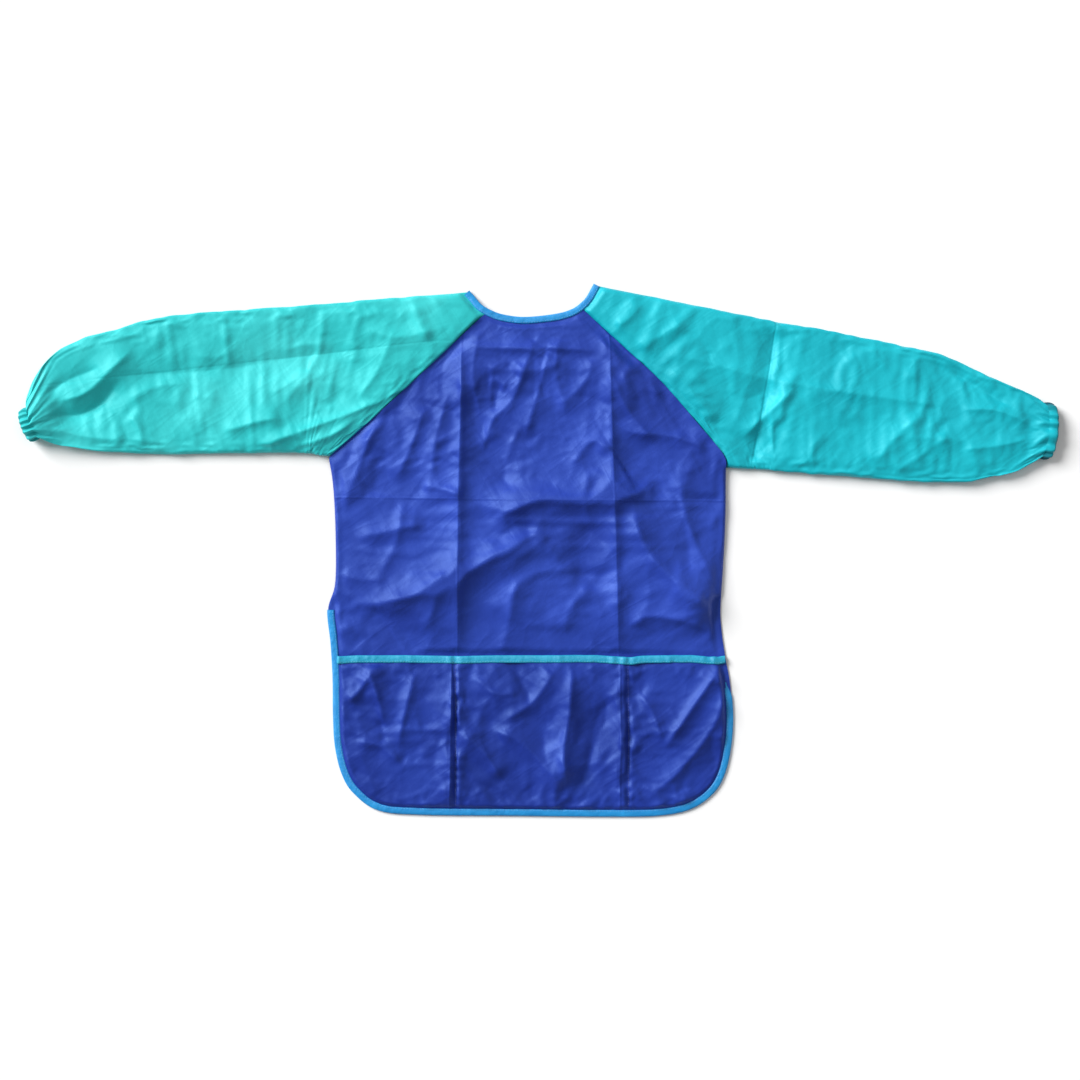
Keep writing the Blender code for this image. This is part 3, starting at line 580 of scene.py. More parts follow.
back_edges = {}
for side, sign in (("left", 1), ("right", -1)):
    seam_top = np.array(BACK_SEAM[side])
    seam_end = np.array(SEAM_LEFT[-1] if side == "left" else SEAM_RIGHT[-1])
    foot = np.array([side_x(side, FLAP_FOOT) + sign * 0.0030, FLAP_FOOT])
    turn = seam_top + (sign * 0.0270, -0.0400)
    low_end = np.array([side_x(side, -0.0590) + sign * 0.0006, -0.0590])
    centre = line_through(
        [turn, seam_top + (sign * 0.0200, -0.0900), seam_top + (sign * 0.0020, -0.1700),
         seam_top + (-sign * 0.0450, -0.2350), seam_top + (-sign * 0.1050, -0.2770),
         (foot[0] + sign * 0.0060, foot[1] - 0.001), low_end], 72,
    )
    neck = spaced(np.array([seam_top, turn]), 30)
    raglan = spaced(np.array([seam_top, seam_end]), 60)
    ys = np.linspace(seam_end[1], low_end[1], 30)
    outer = np.stack([[side_x(side, h) for h in ys], ys], 1)
    outer[:, 0] += sign * 0.0006
    plan = patch(neck, raglan, spaced(centre, 60), outer)
    x, y = plan[..., 0], plan[..., 1]
    strip_x, strip_y = seam_top[0] - sign * 0.0040, seam_top[1] - 0.0615
    clear = ease(np.hypot((x - strip_x) / 1.3, y - strip_y), 0.014, 0.040)
    z = BACK_HEIGHT[side] + clear * (0.0004 * slack(x, y, 30, 0.08, 0.02, 11) - 0.0002)
    z[-1, :] = 0.0014
    grid = np.dstack([plan, np.maximum(z, TABLE_GAP)])
    if side == "right":
        grid, plan = grid[:, ::-1], plan[:, ::-1]
    panel = cloth_piece(f"back_panel_{side}_cloth", grid, plan)
    finer(panel)
    panel.data.materials.append(blue_cloth)
    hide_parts(f"back_side_{side}", f"back_flap_{side}")
    along = (foot - seam_top) / np.linalg.norm(foot - seam_top)
    across = np.array([-along[1], along[0]])
    across = across if across[0] * sign > 0 else -across
    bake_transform(panel)
    back_edges[side] = (neck, centre, foot)

# ------------------------------------------------------------------ sleeves
# Each raglan sleeve is one piece of turquoise nylon sewn into a tube, with its seam under the arm. It lies
# pressed nearly flat and is pulled into small pleats where the cuff's elastic gathers it.

SLEEVE = {
    "left": {
        "neck": NECK_ENDS["left"],
        "top": [(-0.2500, 0.2583), (-0.3145, 0.2536), (-0.3985, 0.2462), (-0.4405, 0.2347), (-0.4825, 0.2225),
                (-0.5120, 0.2060), (-0.5310, 0.1830), (-0.5400, 0.1600), (-0.5385, 0.1490)],
        "under": [(-0.2500, 0.1024), (-0.3145, 0.1018), (-0.3985, 0.1003), (-0.4405, 0.1024),
                  (-0.4700, 0.1040), (-0.4925, 0.1080), (-0.5100, 0.1120),
                  (-0.5215, 0.1150), (-0.5275, 0.1175)],
        "cuff_height": 0.0235, "pleat": 0.0036, "pleat_reach": 0.050, "seed": 21, "lobes": 15, "bow": 0.0030,
        "folds": [
            ([(-0.4600, 0.1810), (-0.4100, 0.1850), (-0.3300, 0.1920), (-0.2400, 0.2060), (-0.1500, 0.2130)],
             -0.0058, 0.020, 0.034),
            ([(-0.5160, 0.1420), (-0.4850, 0.1430), (-0.4600, 0.1560), (-0.4420, 0.1830)],
             -0.0070, 0.012, 0.012),
            ([(-0.5120, 0.1560), (-0.4800, 0.1640), (-0.4540, 0.1860), (-0.4260, 0.2140)],
             0.0060, 0.014, 0.010),
            ([(-0.5250, 0.1600), (-0.4980, 0.1780), (-0.4600, 0.1940)], -0.0030, 0.008, 0.010),
            ([(-0.5150, 0.1300), (-0.4800, 0.1200), (-0.4350, 0.1150)], 0.0030, 0.014, 0.008),
            ([(-0.4180, 0.1060), (-0.4200, 0.1280), (-0.4340, 0.1440)], 0.0030, 0.006, 0.008),
            ([(-0.3350, 0.1240), (-0.3000, 0.1340), (-0.2700, 0.1400)], 0.0036, 0.012, 0.005),
            ([(-0.3150, 0.0980), (-0.2700, 0.1180), (-0.2100, 0.1400), (-0.1500, 0.1640)],
             0.0048, 0.010, 0.008),
            ([(-0.2800, 0.0980), (-0.2500, 0.1100), (-0.2150, 0.1230), (-0.1900, 0.1400)],
             0.0040, 0.006, 0.008),
            ([(-0.2750, 0.1500), (-0.2450, 0.1850), (-0.2250, 0.2250)], 0.0024, 0.012, 0.010),
            ([(-0.1950, 0.1550), (-0.1700, 0.1900), (-0.1500, 0.2400)], 0.0028, 0.010, 0.010),
            ([(-0.1300, 0.1900), (-0.1000, 0.2050), (-0.0750, 0.2380)], 0.0026, 0.010, 0.006),
            ([(-0.1900, 0.2350), (-0.1500, 0.2240), (-0.1050, 0.2330)], 0.0022, 0.008, 0.009),
            ([(-0.1330, 0.2620), (-0.1270, 0.2400), (-0.1150, 0.2180)], 0.0026, 0.008, 0.009),
            ([(-0.3650, 0.1150), (-0.3500, 0.1650), (-0.3600, 0.2300)], 0.0020, 0.020, 0.014),
        ],
        "crumpled": [
            ((-0.49, 0.11), (-0.12, 0.24), 16, 0.0024, 30, None, (0.040, 0.100), (0.009, 0.020)),
            ((-0.49, 0.11), (-0.27, 0.24), 14, 0.0010, 31), ((-0.27, 0.12), (-0.09, 0.26), 30, 0.0013, 32),
        ],
    },
    "right": {
        "neck": NECK_ENDS["right"],
        "top": [(0.2500, 0.2415), (0.2945, 0.2336), (0.3785, 0.2168), (0.4205, 0.2074), (0.4625, 0.1885),
                (0.4835, 0.1790), (0.5045, 0.1696), (0.5255, 0.1605), (0.5340, 0.1545)],
        "under": [(0.2500, 0.0838), (0.2945, 0.0793), (0.3785, 0.0730), (0.4205, 0.0709), (0.4525, 0.0722),
                  (0.4775, 0.0775), (0.5000, 0.0830), (0.5180, 0.0905), (0.5290, 0.0970)],
        "cuff_height": 0.0140, "pleat": 0.0026, "pleat_reach": 0.060, "seed": 41, "lobes": 14, "bow": 0.0070,
        "folds": [
            ([(0.2230, 0.0850), (0.2330, 0.1350), (0.2420, 0.1800), (0.2500, 0.2480)], -0.0064, 0.018, 0.012),
            ([(0.1100, 0.2080), (0.1700, 0.1990), (0.2400, 0.1800), (0.3500, 0.1620), (0.4600, 0.1480)],
             0.0036, 0.018, 0.014),
            ([(0.2100, 0.1150), (0.2350, 0.1400), (0.2700, 0.1720)], 0.0042, 0.010, 0.010),
            ([(0.3480, 0.0850), (0.3700, 0.1150), (0.4050, 0.1480)], 0.0044, 0.014, 0.016),
            ([(0.3650, 0.0760), (0.4000, 0.1000), (0.4350, 0.1250)], 0.0026, 0.010, 0.010),
            ([(0.4250, 0.1950), (0.4600, 0.1720), (0.5000, 0.1480)], -0.0034, 0.010, 0.008),
            ([(0.4400, 0.1480), (0.4800, 0.1470), (0.5200, 0.1300)], 0.0036, 0.010, 0.007),
            ([(0.4400, 0.1050), (0.4800, 0.1100), (0.5200, 0.1180)], 0.0030, 0.012, 0.008),
            ([(0.2900, 0.0850), (0.2850, 0.1050), (0.3000, 0.1250)], 0.0024, 0.008, 0.006),
            ([(0.3200, 0.1550), (0.3350, 0.1850), (0.3250, 0.2150)], 0.0020, 0.020, 0.012),
            ([(0.1350, 0.1950), (0.1650, 0.1600), (0.1850, 0.1350)], 0.0030, 0.014, 0.012),
            ([(0.0750, 0.2350), (0.0950, 0.2450), (0.1050, 0.2650)], 0.0030, 0.010, 0.008),
            ([(0.1050, 0.2050), (0.1250, 0.2250), (0.1550, 0.2400)], 0.0028, 0.012, 0.008),
        ],
        "crumpled": [
            ((0.12, 0.11), (0.49, 0.20), 16, 0.0022, 50, None, (0.040, 0.100), (0.009, 0.020)),
            ((0.24, 0.09), (0.49, 0.20), 12, 0.0009, 51), ((0.08, 0.12), (0.24, 0.26), 20, 0.0012, 52),
        ],
    },
}
ARM_LENGTH = 0.29
SLEEVE_MIDDLE = 0.0016  # height at which the two pressed layers meet
SLEEVE_TOP, SLEEVE_SUPPORT, SLEEVE_LOWEST = 0.0112, 0.0074, 0.0020  # heights of the upper layer


def gather(angle, cut):
    """How the elastic throws the cloth into pleats round the wrist, from -1 to 1."""
    wander = 0.9 * np.sin(3 * angle + cut["seed"]) + 0.6 * np.sin(5 * angle + 2 * cut["seed"])
    return np.cos(cut["lobes"] * angle + wander) * (0.75 + 0.25 * np.sin(2 * angle + cut["seed"]))


def sleeve_grid(side, cut):
    """Upper and under layers of the sleeve, from the seams to the wrist, both (along, across, 3)."""
    sign = -1 if side == "left" else 1
    seam = seam_left if side == "left" else seam_right
    across_count, shoulder_count, arm_count = 49, 36, 62
    front_seam = spaced(np.vstack([line_through(cut["neck"], 10)[:-1], seam]), across_count)
    back_seam = spaced(np.array([cut["neck"][0], BACK_SEAM[side], seam[-1]]), across_count)
    top, under = line_through(cut["top"], arm_count), line_through(cut["under"], arm_count)
    v = np.linspace(0, 1, across_count)
    s = np.linspace(0, 1, shoulder_count)[:, None, None]
    fold_line = top[0] * (1 - v[:, None]) + under[0] * v[:, None]
    arm = top[1:, None] * (1 - v[None, :, None]) + under[1:, None] * v[None, :, None]
    layers = []
    run_arm = np.linspace(0, 1, arm_count)[1:]
    share = np.concatenate([np.zeros(shoulder_count), run_arm])[:, None]
    near_seam = np.concatenate([np.linspace(1, 0, shoulder_count), 0 * run_arm])[:, None]
    angle = np.arccos(np.clip(1 - 2 * v, -1, 1))[None, :]
    toward_cuff = (1 - share) * ARM_LENGTH
    round_up = ease(share, 0.72, 1.0)
    half_cuff = cut["cuff_height"] / 2
    mid = SLEEVE_MIDDLE + (half_cuff - SLEEVE_MIDDLE) * round_up
    body = SLEEVE_TOP + 0.0040 * ease(share, 0.3, 0.9)
    lens = np.maximum(0, 1 - np.abs(2 * v - 1) ** 5)[None, :] ** (1 / 3)
    sine = np.sin(angle)
    for edge, way in ((front_seam, 1), (back_seam, -1)):
        plan = np.vstack([edge[None] * (1 - s) + fold_line[None] * s, arm])
        x, y = plan[..., 0], plan[..., 1]
        pleats = gather(way * angle, cut) * cut["pleat"]
        pleats = pleats * np.exp(-toward_cuff / cut["pleat_reach"])
        fade = lens * ease(toward_cuff, 0.0, 0.05) * (1 - 0.85 * ease(near_seam, 0.80, 1.0))
        if way > 0:
            tilt = 2 if side == "left" else -8
            loose = (
                0.0030 * slack(x, y, tilt + 4, 0.170, 0.032, cut["seed"])
                + 0.0022 * slack(x, y, tilt + 28 * (-sign), 0.110, 0.024, cut["seed"] + 1)
                + 0.0011 * slack(x, y, tilt + 70, 0.060, 0.016, cut["seed"] + 2)
            )
            laid_height = mid + (body - mid) * lens + loose * fade
        else:
            loose = 0.0006 * slack(x, y, 10, 0.080, 0.020, cut["seed"] + 5)
            laid_height = mid - (mid - 0.0006) * lens + loose * fade
        z = laid_height * (1 - round_up) + half_cuff * (1 + way * sine) * round_up
        if way > 0:
            seam_z = END_HEIGHT + (SEAM_HEIGHT - END_HEIGHT) * ease(v, 0.0, 0.05) * (1 - ease(v, 0.95, 1.0))
            z = z * (1 - ease(near_seam, 0.86, 1.0)) + seam_z[None, :] * ease(near_seam, 0.86, 1.0)
        grid = np.dstack([plan, z])
        across_cuff = (top[-1] - under[-1]) / np.linalg.norm(top[-1] - under[-1])
        outward = np.array([-across_cuff[1], across_cuff[0]]) * -sign
        grid[..., :2] += (pleats * 0.35 * np.cos(angle))[..., None] * across_cuff
        grid[..., :2] += (cut["bow"] * (sine**0.8 - 0.5) * ease(toward_cuff, 0.045, 0.0))[..., None] * outward
        grid[..., 2] += pleats * sine * way
        grid[..., 2] = np.maximum(grid[..., 2], TABLE_GAP)
        layers.append(grid)
    return layers


turquoise_cloth = {
    "left": coated_nylon(
        "turquoise_coated_nylon_left", (0.024, 0.512, 0.525), (0.016, 0.465, 0.480),
        (0.048, 0.580, 0.588), 0.53, (0.35, 1.0, 1.0), [((-0.170, 0.213), (-0.400, 0.186), -0.0002)],
    ),
    "right": coated_nylon(
        "turquoise_coated_nylon_right", (0.002, 0.415, 0.500), (0.001, 0.370, 0.455),
        (0.006, 0.470, 0.560), 0.52, (0.35, 0.95, 1.0), [((0.250, 0.248), (0.223, 0.085), -0.0004)],
    ),
}
for side, cut in SLEEVE.items():
    upper, lower = sleeve_grid(side, cut)
    plan = upper[..., :2].copy()
    top_layer = cloth_piece(f"sleeve_{side}_upper", upper, plan)
    held = np.zeros(upper.shape[:2], bool)
    held[0, :] = held[-2:, :] = held[:, 0] = held[:, -1] = True
    low, high = plan.reshape(-1, 2).min(0) - 0.02, plan.reshape(-1, 2).max(0) + 0.02
    under_sleeve = support_under(low, high, lambda a, b: SLEEVE_SUPPORT + 0 * a)
    settle(top_layer, held.ravel(), 0.018, under_sleeve, 0.010)
    upper = points_of(top_layer).reshape(upper.shape)
    bpy.data.objects.remove(top_layer)
    around = np.concatenate([upper[:, -1:], lower[:, -2:0:-1], upper[:, :-1]], 1)
    mirrored = lower[..., :2].copy()
    mirrored[..., 1] = 2 * plan[:, :1, 1] - mirrored[..., 1]
    flat = np.concatenate([mirrored[:, :0:-1], plan], 1)
    if side == "right":
        around, flat = np.concatenate([around[:, :1], around[:, :0:-1]], 1), flat[:, ::-1]
    tube = cloth_piece(f"sleeve_{side}_cloth", around, flat, round_grid=True)
    finer(tube)
    shaped = points_of(tube)
    facing = np.empty(len(shaped) * 3)
    tube.data.vertex_normals.foreach_get("vector", facing)
    facing = facing.reshape(-1, 3)[:, 2]
    seam = seam_left if side == "left" else seam_right
    edges = np.vstack([seam, line_through(cut["top"], 160), line_through(cut["under"], 160)])
    rise = sum(fold(shaped, *one) for one in cut["folds"])
    for box in cut["crumpled"]:
        rise += crumples(shaped, *box)
    lowest = np.minimum(shaped[:, 2], SLEEVE_LOWEST)
    shaped[:, 2] += SLEEVE_GAIN * rise * ease(facing, 0.15, 0.60) * ease(away_from(shaped, edges), 0.0, 0.016)
    shaped[:, 2] = np.maximum(shaped[:, 2], lowest)
    tuck(shaped, neck_path)
    set_points(tube, shaped)
    tube.data.materials.append(turquoise_cloth[side])
    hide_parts(f"sleeve_shoulder_{side}", f"sleeve_arm_{side}")
    sign = -1 if side == "left" else 1
    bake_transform(tube)

# ------------------------------------------------------------------ cuffs
# The sleeve's end is turned in to make a narrow casing, and a band of white elastic runs inside it. The
# elastic draws the casing up into tight ruffles.

# Sections of the casing and the elastic: out from the sleeve's end, in from the wrist's girth
CASING_RIM = [(-0.0008, 0.0), (0.0015, -0.0006), (0.0040, -0.0010), (0.0070, -0.0007), (0.0088, 0.0000),
              (0.0095, 0.0009), (0.0088, 0.0019), (0.0065, 0.0026), (0.0035, 0.0026), (0.0008, 0.0022)]
ELASTIC_RIM = [(0.0018, 0.0008), (0.0072, 0.0008), (0.0072, 0.0016), (0.0018, 0.0016), (0.0018, 0.0008)]
ROUND_MAP = 0.02  # metres of the flat map for each radian round the wrist
TURNED_IN = (0.0062, 0.0110)  # where the casing turns under, across its flat map; painted shade darkens the rim from here


def wrist_point(cut, side, angle, out, inset, ripple):
    """A point of the cuff: angle round the wrist, out from the sleeve's end, inset towards the middle."""
    a, b = np.array(cut["top"][-1]), np.array(cut["under"][-1])
    across = (a - b) / np.linalg.norm(a - b)
    outward = np.array([-across[1], across[0]]) * (1 if side == "left" else -1)
    wide, tall = np.linalg.norm(a - b) / 2 - inset, cut["cuff_height"] / 2 - inset
    swing = gather(angle, cut) * ripple
    flat = (a + b) / 2 + outward * (out + cut["bow"] * (abs(math.sin(angle)) ** 0.8 - 0.5))
    flat = flat + across * (wide * math.cos(angle) + 0.35 * swing * math.cos(angle))
    return (*flat, cut["cuff_height"] / 2 + tall * math.sin(angle) + swing * math.sin(angle))


def rim_grid(cut, side, section, angles):
    """A section swept round the wrist, with full ripples where it meets the sleeve and less beyond."""
    return np.array([
        [wrist_point(cut, side, t, out, inset, cut["pleat"] * (1.0 if out < 0.001 else 0.80)) for t in angles]
        for out, inset in section
    ])


white_elastic, tree, shader = new_finish(
    "white_braided_elastic", Base_Color=(0.80, 0.80, 0.77, 1), Roughness=0.85
)
ribs = add(tree, "TexWave", Scale=400, Distortion=1.5)
tree.links.new(flat_map(tree), ribs.inputs["Vector"])
bumped(tree, shader, ribs.outputs["Fac"], Distance=0.0003)


def painted_shade_copy(paint, name, dark, depth):
    """The same nylon with painted shade, dark by depth from 0 to 1, over the casing's rim and two ends where
    they turn under.
    """
    made = paint.copy()
    made.name = name
    tree = made.node_tree
    shader = tree.nodes["Principled BSDF"]
    cloth = shader.inputs["Base Color"].links[0].from_socket
    split = add(tree, "SeparateXYZ")
    tree.links.new(flat_map(tree), split.inputs[0])
    round_wrist = math_of(tree, "DIVIDE", split.outputs[0], ROUND_MAP)
    ends = math_of(tree, "ABSOLUTE", math_of(tree, "COSINE", round_wrist))
    ends = math_of(tree, "MULTIPLY", math_of(tree, "POWER", ends, 4), depth)
    rim = add(tree, "MapRange", From_Min=TURNED_IN[0], From_Max=TURNED_IN[1], To_Max=depth * 0.9)
    tree.links.new(split.outputs[1], rim.inputs["Value"])
    shade = add(tree, "Mix", data_type="RGBA")
    shade.inputs[7].default_value = (*dark, 1)
    tree.links.new(math_of(tree, "MAXIMUM", ends, rim.outputs["Result"]), shade.inputs[0])
    tree.links.new(cloth, shade.inputs[6])
    tree.links.new(shade.outputs[2], shader.inputs["Base Color"])
    return made


# Painted shade on each cuff's casing: dark teal on the left cuff, deeper and near-black navy on the right
shaded_cuff_cloth = {
    "left": painted_shade_copy(turquoise_cloth["left"], "turquoise_left_cuff_painted_shade", (0.004, 0.120, 0.150), 0.45),
    "right": painted_shade_copy(turquoise_cloth["right"], "turquoise_right_cuff_painted_shade", (0.002, 0.018, 0.045), 0.95),
}

for side, cut in SLEEVE.items():
    angles = np.linspace(0, 2 * math.pi, 145)[:-1]
    grid = rim_grid(cut, side, CASING_RIM, angles)
    grid[..., 2] = np.maximum(grid[..., 2], 0.0003)
    flat = np.array([[(t * ROUND_MAP, out + inset * 2) for t in (*angles, 2 * math.pi)]
                     for out, inset in CASING_RIM])
    if side == "right":
        grid, flat = grid[:, ::-1], flat[:, ::-1]
    casing = cloth_piece(f"cuff_casing_{side}_cloth", grid, flat, round_grid=True)
    casing.data.materials.append(shaded_cuff_cloth[side])
    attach(casing, f"{side}_arm")
    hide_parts(f"cuff_casing_{side}")
    band = rim_grid(cut, side, ELASTIC_RIM, angles)
    band[..., 2] = np.maximum(band[..., 2], 0.0006)
    flat = np.array([[(t * ROUND_MAP, k * 0.002) for t in (*angles, 2 * math.pi)] for k in range(5)])
    if side == "right":
        band, flat = band[:, ::-1], flat[:, ::-1]
    elastic = cloth_piece(f"cuff_elastic_{side}_band", band, flat, round_grid=True)
    elastic.data.materials.append(white_elastic)
    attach(elastic, f"{side}_arm")
    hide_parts(f"cuff_elastic_{side}")

# ------------------------------------------------------------------ pocket
# One wide piece of blue nylon across the lower front, caught into the hem tape at its sides and foot and
# stitched through in two rows, so that it makes three compartments. The rows and tape pucker it.

DIVIDERS = (-0.0890, 0.0930)
POCKET_HEIGHT = 0.0040
POCKET_SUPPORT, POCKET_LOWEST, POCKET_EDGE = 0.0030, 0.0031, 0.0022  # heights over the front's cloth


def off_row(x):
    """Distance across to the nearer stitched row."""
    return np.minimum(np.abs(x - DIVIDERS[0]), np.abs(x - DIVIDERS[1]))


inner = round_hem[(round_hem[:, 1] < POCKET_MOUTH + 0.004)]
middle_of_front = np.array([-0.009, -0.180])
tangent = np.gradient(inner, axis=0)
normal = np.stack([-tangent[:, 1], tangent[:, 0]], 1)
normal /= np.linalg.norm(normal, axis=1, keepdims=True)
normal *= np.sign(((middle_of_front - inner) * normal).sum(1))[:, None]
inner = inner + normal * 0.0050
corner = corners_of(inner)
mouth_left = np.array([np.interp(-POCKET_MOUTH, -inner[: corner[0], 1], inner[: corner[0], 0]), POCKET_MOUTH])
mouth_right = np.array([np.interp(POCKET_MOUTH, inner[corner[1] :, 1], inner[corner[1] :, 0]), POCKET_MOUTH])
down_left = np.vstack([mouth_left, inner[: corner[0] + 1][inner[: corner[0] + 1, 1] < POCKET_MOUTH - 0.0005]])
down_right = inner[corner[1] :][::-1]
down_right = np.vstack([mouth_right, down_right[down_right[:, 1] < POCKET_MOUTH - 0.0005]])
foot_line = inner[corner[0] : corner[1] + 1]
plan = patch(spaced(np.array([mouth_left, mouth_right]), 106), spaced(down_left, 42), spaced(down_right, 42),
             spaced(foot_line, 106))
x, y = plan[..., 0], plan[..., 1]
rows, cols = x.shape
# Rough distances in metres from the pocket's edges
from_side = np.minimum(np.arange(cols), np.arange(cols)[::-1])[None, :] * 0.0039 + 0 * x
from_foot = np.arange(rows)[::-1][:, None] * 0.0038 + 0 * x
from_mouth = POCKET_MOUTH - y
from_row = off_row(x)
fill = ease(from_side, 0, 0.030) * ease(from_foot, 0, 0.030) * ease(from_row, 0.000, 0.034)
pucker = (
    0.0014 * np.exp(-from_mouth / 0.016) * slack(x, y, 90, 0.090, 0.0085, 61)
    + 0.0013 * np.exp(-from_foot / 0.013) * slack(x, y, 90, 0.090, 0.0085, 62)
    + 0.0015 * np.exp(-from_row / 0.010) * slack(x, y, 12, 0.040, 0.0080, 63)
    + 0.0009 * np.exp(-from_side / 0.012) * slack(x, y, 0, 0.050, 0.0100, 64)
)
broad = (
    0.0020 * slack(x, y, 25, 0.120, 0.034, 65)
    + 0.0016 * slack(x, y, -40, 0.090, 0.028, 66)
    + 0.0009 * slack(x, y, 80, 0.060, 0.016, 67)
)
pinned = np.minimum(np.minimum(from_side, from_foot), from_row)
z = POCKET_HEIGHT + 0.0018 * fill + broad * fill + pucker * ease(pinned, 0.0, 0.006)
grid = np.dstack([plan, np.maximum(z, POCKET_HEIGHT - 0.0006)])
pocket = cloth_piece("pocket_panel_cloth", grid, plan)
held = np.zeros((rows, cols), bool)
held[-1, :] = held[:, 0] = held[:, -1] = True
held |= from_row < 0.0021
under_pocket = support_under((-0.23, -0.29), (0.22, -0.10), lambda a, b: POCKET_SUPPORT + 0 * a)
settle(pocket, held.ravel(), 0.016, under_pocket, 0.008)
mouth_line = points_of(pocket).reshape(rows, cols, 3)[0]
mouth_line = spaced(np.vstack([mouth_line, mouth_line[-1] + (0.0045, 0.0003, -0.0006)]), 300)
mouth_line[:, 1] -= 0.0012 * np.exp(-((mouth_line[:, 0] - DIVIDERS[1] - 0.002) / 0.006) ** 2)
smooth(mouth_line, 5)
pocket_cloth = coated_nylon(
    "royal_blue_coated_nylon_pocket", (0.009, 0.026, 0.270), (0.006, 0.019, 0.220), (0.013, 0.038, 0.330),
    0.51, BLUE_SHINE,
    [((-0.0930, -0.10), (-0.0960, -0.30), 0.0005), ((0.0830, -0.10), (0.0840, -0.30), 0.0005)],
)
POCKET_FOLDS = [
    ([(-0.0965, -0.2750), (-0.0935, -0.2380), (-0.0985, -0.2050), (-0.0925, -0.1680), (-0.0945, -0.1180)],
     0.0030, 0.016, 0.010),
    ([(0.0300, -0.2560), (0.0250, -0.2120), (0.0312, -0.1675), (0.0341, -0.1180)], 0.0046, 0.011, 0.012),
    ([(0.0450, -0.2600), (0.0560, -0.2050), (0.0760, -0.1450)], -0.0026, 0.012, 0.010),
    ([(-0.0860, -0.1900), (-0.0600, -0.2120), (-0.0380, -0.2420)], 0.0034, 0.012, 0.010),
    ([(-0.0560, -0.1880), (-0.0260, -0.1980), (0.0080, -0.2300), (0.0280, -0.2560)], 0.0034, 0.014, 0.012),
    ([(-0.0423, -0.1820), (-0.0070, -0.1587), (0.0135, -0.1290), (0.0180, -0.1180)], 0.0030, 0.010, 0.009),
    ([(-0.0700, -0.1300), (-0.0480, -0.1500), (-0.0180, -0.1480)], 0.0022, 0.012, 0.008),
    ([(0.1280, -0.2120), (0.1605, -0.1646), (0.1930, -0.1180)], 0.0034, 0.006, 0.008),
    ([(0.1150, -0.2600), (0.1500, -0.2280), (0.1850, -0.1800), (0.1960, -0.1350)], 0.0030, 0.012, 0.008),
    ([(0.1000, -0.1450), (0.1180, -0.1700), (0.1300, -0.2050)], 0.0026, 0.009, 0.007),
    ([(-0.1640, -0.1850), (-0.1720, -0.1500), (-0.1830, -0.1180)], 0.0028, 0.008, 0.008),
    ([(-0.1500, -0.2100), (-0.1420, -0.1700), (-0.1300, -0.1240)], 0.0026, 0.008, 0.008),
    ([(-0.2040, -0.1600), (-0.1900, -0.1480), (-0.1800, -0.1300)], 0.0024, 0.007, 0.006),
    ([(-0.1950, -0.2000), (-0.1700, -0.2050), (-0.1450, -0.2250)], 0.0022, 0.010, 0.008),
    ([(0.0850, -0.2700), (0.0820, -0.2350), (0.0860, -0.2000), (0.0820, -0.1600), (0.0840, -0.1180)],
     0.0022, 0.010, 0.006),
]
finer(pocket)
pressed = points_of(pocket)
rise = POCKET_GAIN * sum(fold(pressed, *one) for one in POCKET_FOLDS)
# Crumples all over, then puckers under the mouth's tape, over the hem's and beside both stitched rows
for box in (
    ((-0.205, -0.260), (0.200, -0.125), 20, 0.0028, 70, None, (0.035, 0.080), (0.006, 0.014)),
    ((-0.205, -0.260), (-0.090, -0.125), 34, 0.0016, 71),
    ((-0.080, -0.260), (0.200, -0.125), 28, 0.0014, 72),
    ((-0.205, -0.132), (0.195, -0.118), 50, 0.0013, 73, 90, (0.010, 0.030), (0.003, 0.006)),
    ((-0.180, -0.272), (0.170, -0.255), 46, 0.0014, 74, 90, (0.014, 0.040), (0.003, 0.008)),
    ((-0.098, -0.265), (-0.080, -0.120), 44, 0.0012, 75, 0, (0.008, 0.018), (0.003, 0.006)),
    ((0.084, -0.265), (0.102, -0.120), 44, 0.0012, 76, 0, (0.008, 0.018), (0.003, 0.006)),
):
    rise += crumples(pressed, *box)
edge = np.vstack([down_left, foot_line, down_right[::-1]])
off_rows = off_row(pressed[:, 0])
drawn_in = slack(pressed[:, 0], pressed[:, 1], 0, 0.030, 0.0070, 77)
pressed[:, 2] += 0.0010 * np.exp(-(off_rows / 0.0050) ** 2) * drawn_in
rise *= ease(away_from(pressed, edge), 0.0005, 0.007) * (0.45 + 0.55 * ease(off_rows, 0.0, 0.0030))
pressed[:, 2] += rise
pressed[:, 2] = np.maximum(pressed[:, 2], POCKET_LOWEST)
tuck(pressed, mouth_line)
tuck(pressed, np.column_stack([round_hem, np.full(len(round_hem), HEM_HEIGHT + 0.0006)]), 0.0062)
pressed[:, 2] = np.maximum(pressed[:, 2], POCKET_EDGE)
set_points(pocket, pressed)
pocket.data.materials.append(pocket_cloth)
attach(pocket, "smock_body")
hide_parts("pocket_panel")

# ------------------------------------------------------------------ tapes
# Every raw edge is wrapped in satin-faced bias tape, folded over it and sewn down with one row of thread:
# sky blue round the neck, hem and back edges, turquoise on the pocket's mouth.

# Section of the folded tape: in from the cloth's edge, up from its middle
TAPE_PROFILE = [(0.0078, -0.0006), (0.0045, -0.0008), (0.0008, -0.0009), (-0.0006, -0.0006),
                (-0.0010, 0.0000), (-0.0008, 0.0006), (0.0004, 0.0011), (0.0030, 0.0014), (0.0060, 0.0014),
                (0.0078, 0.0012), (0.0085, 0.0007), (0.0083, 0.0002)]
TAPE_TOP = 0.0014


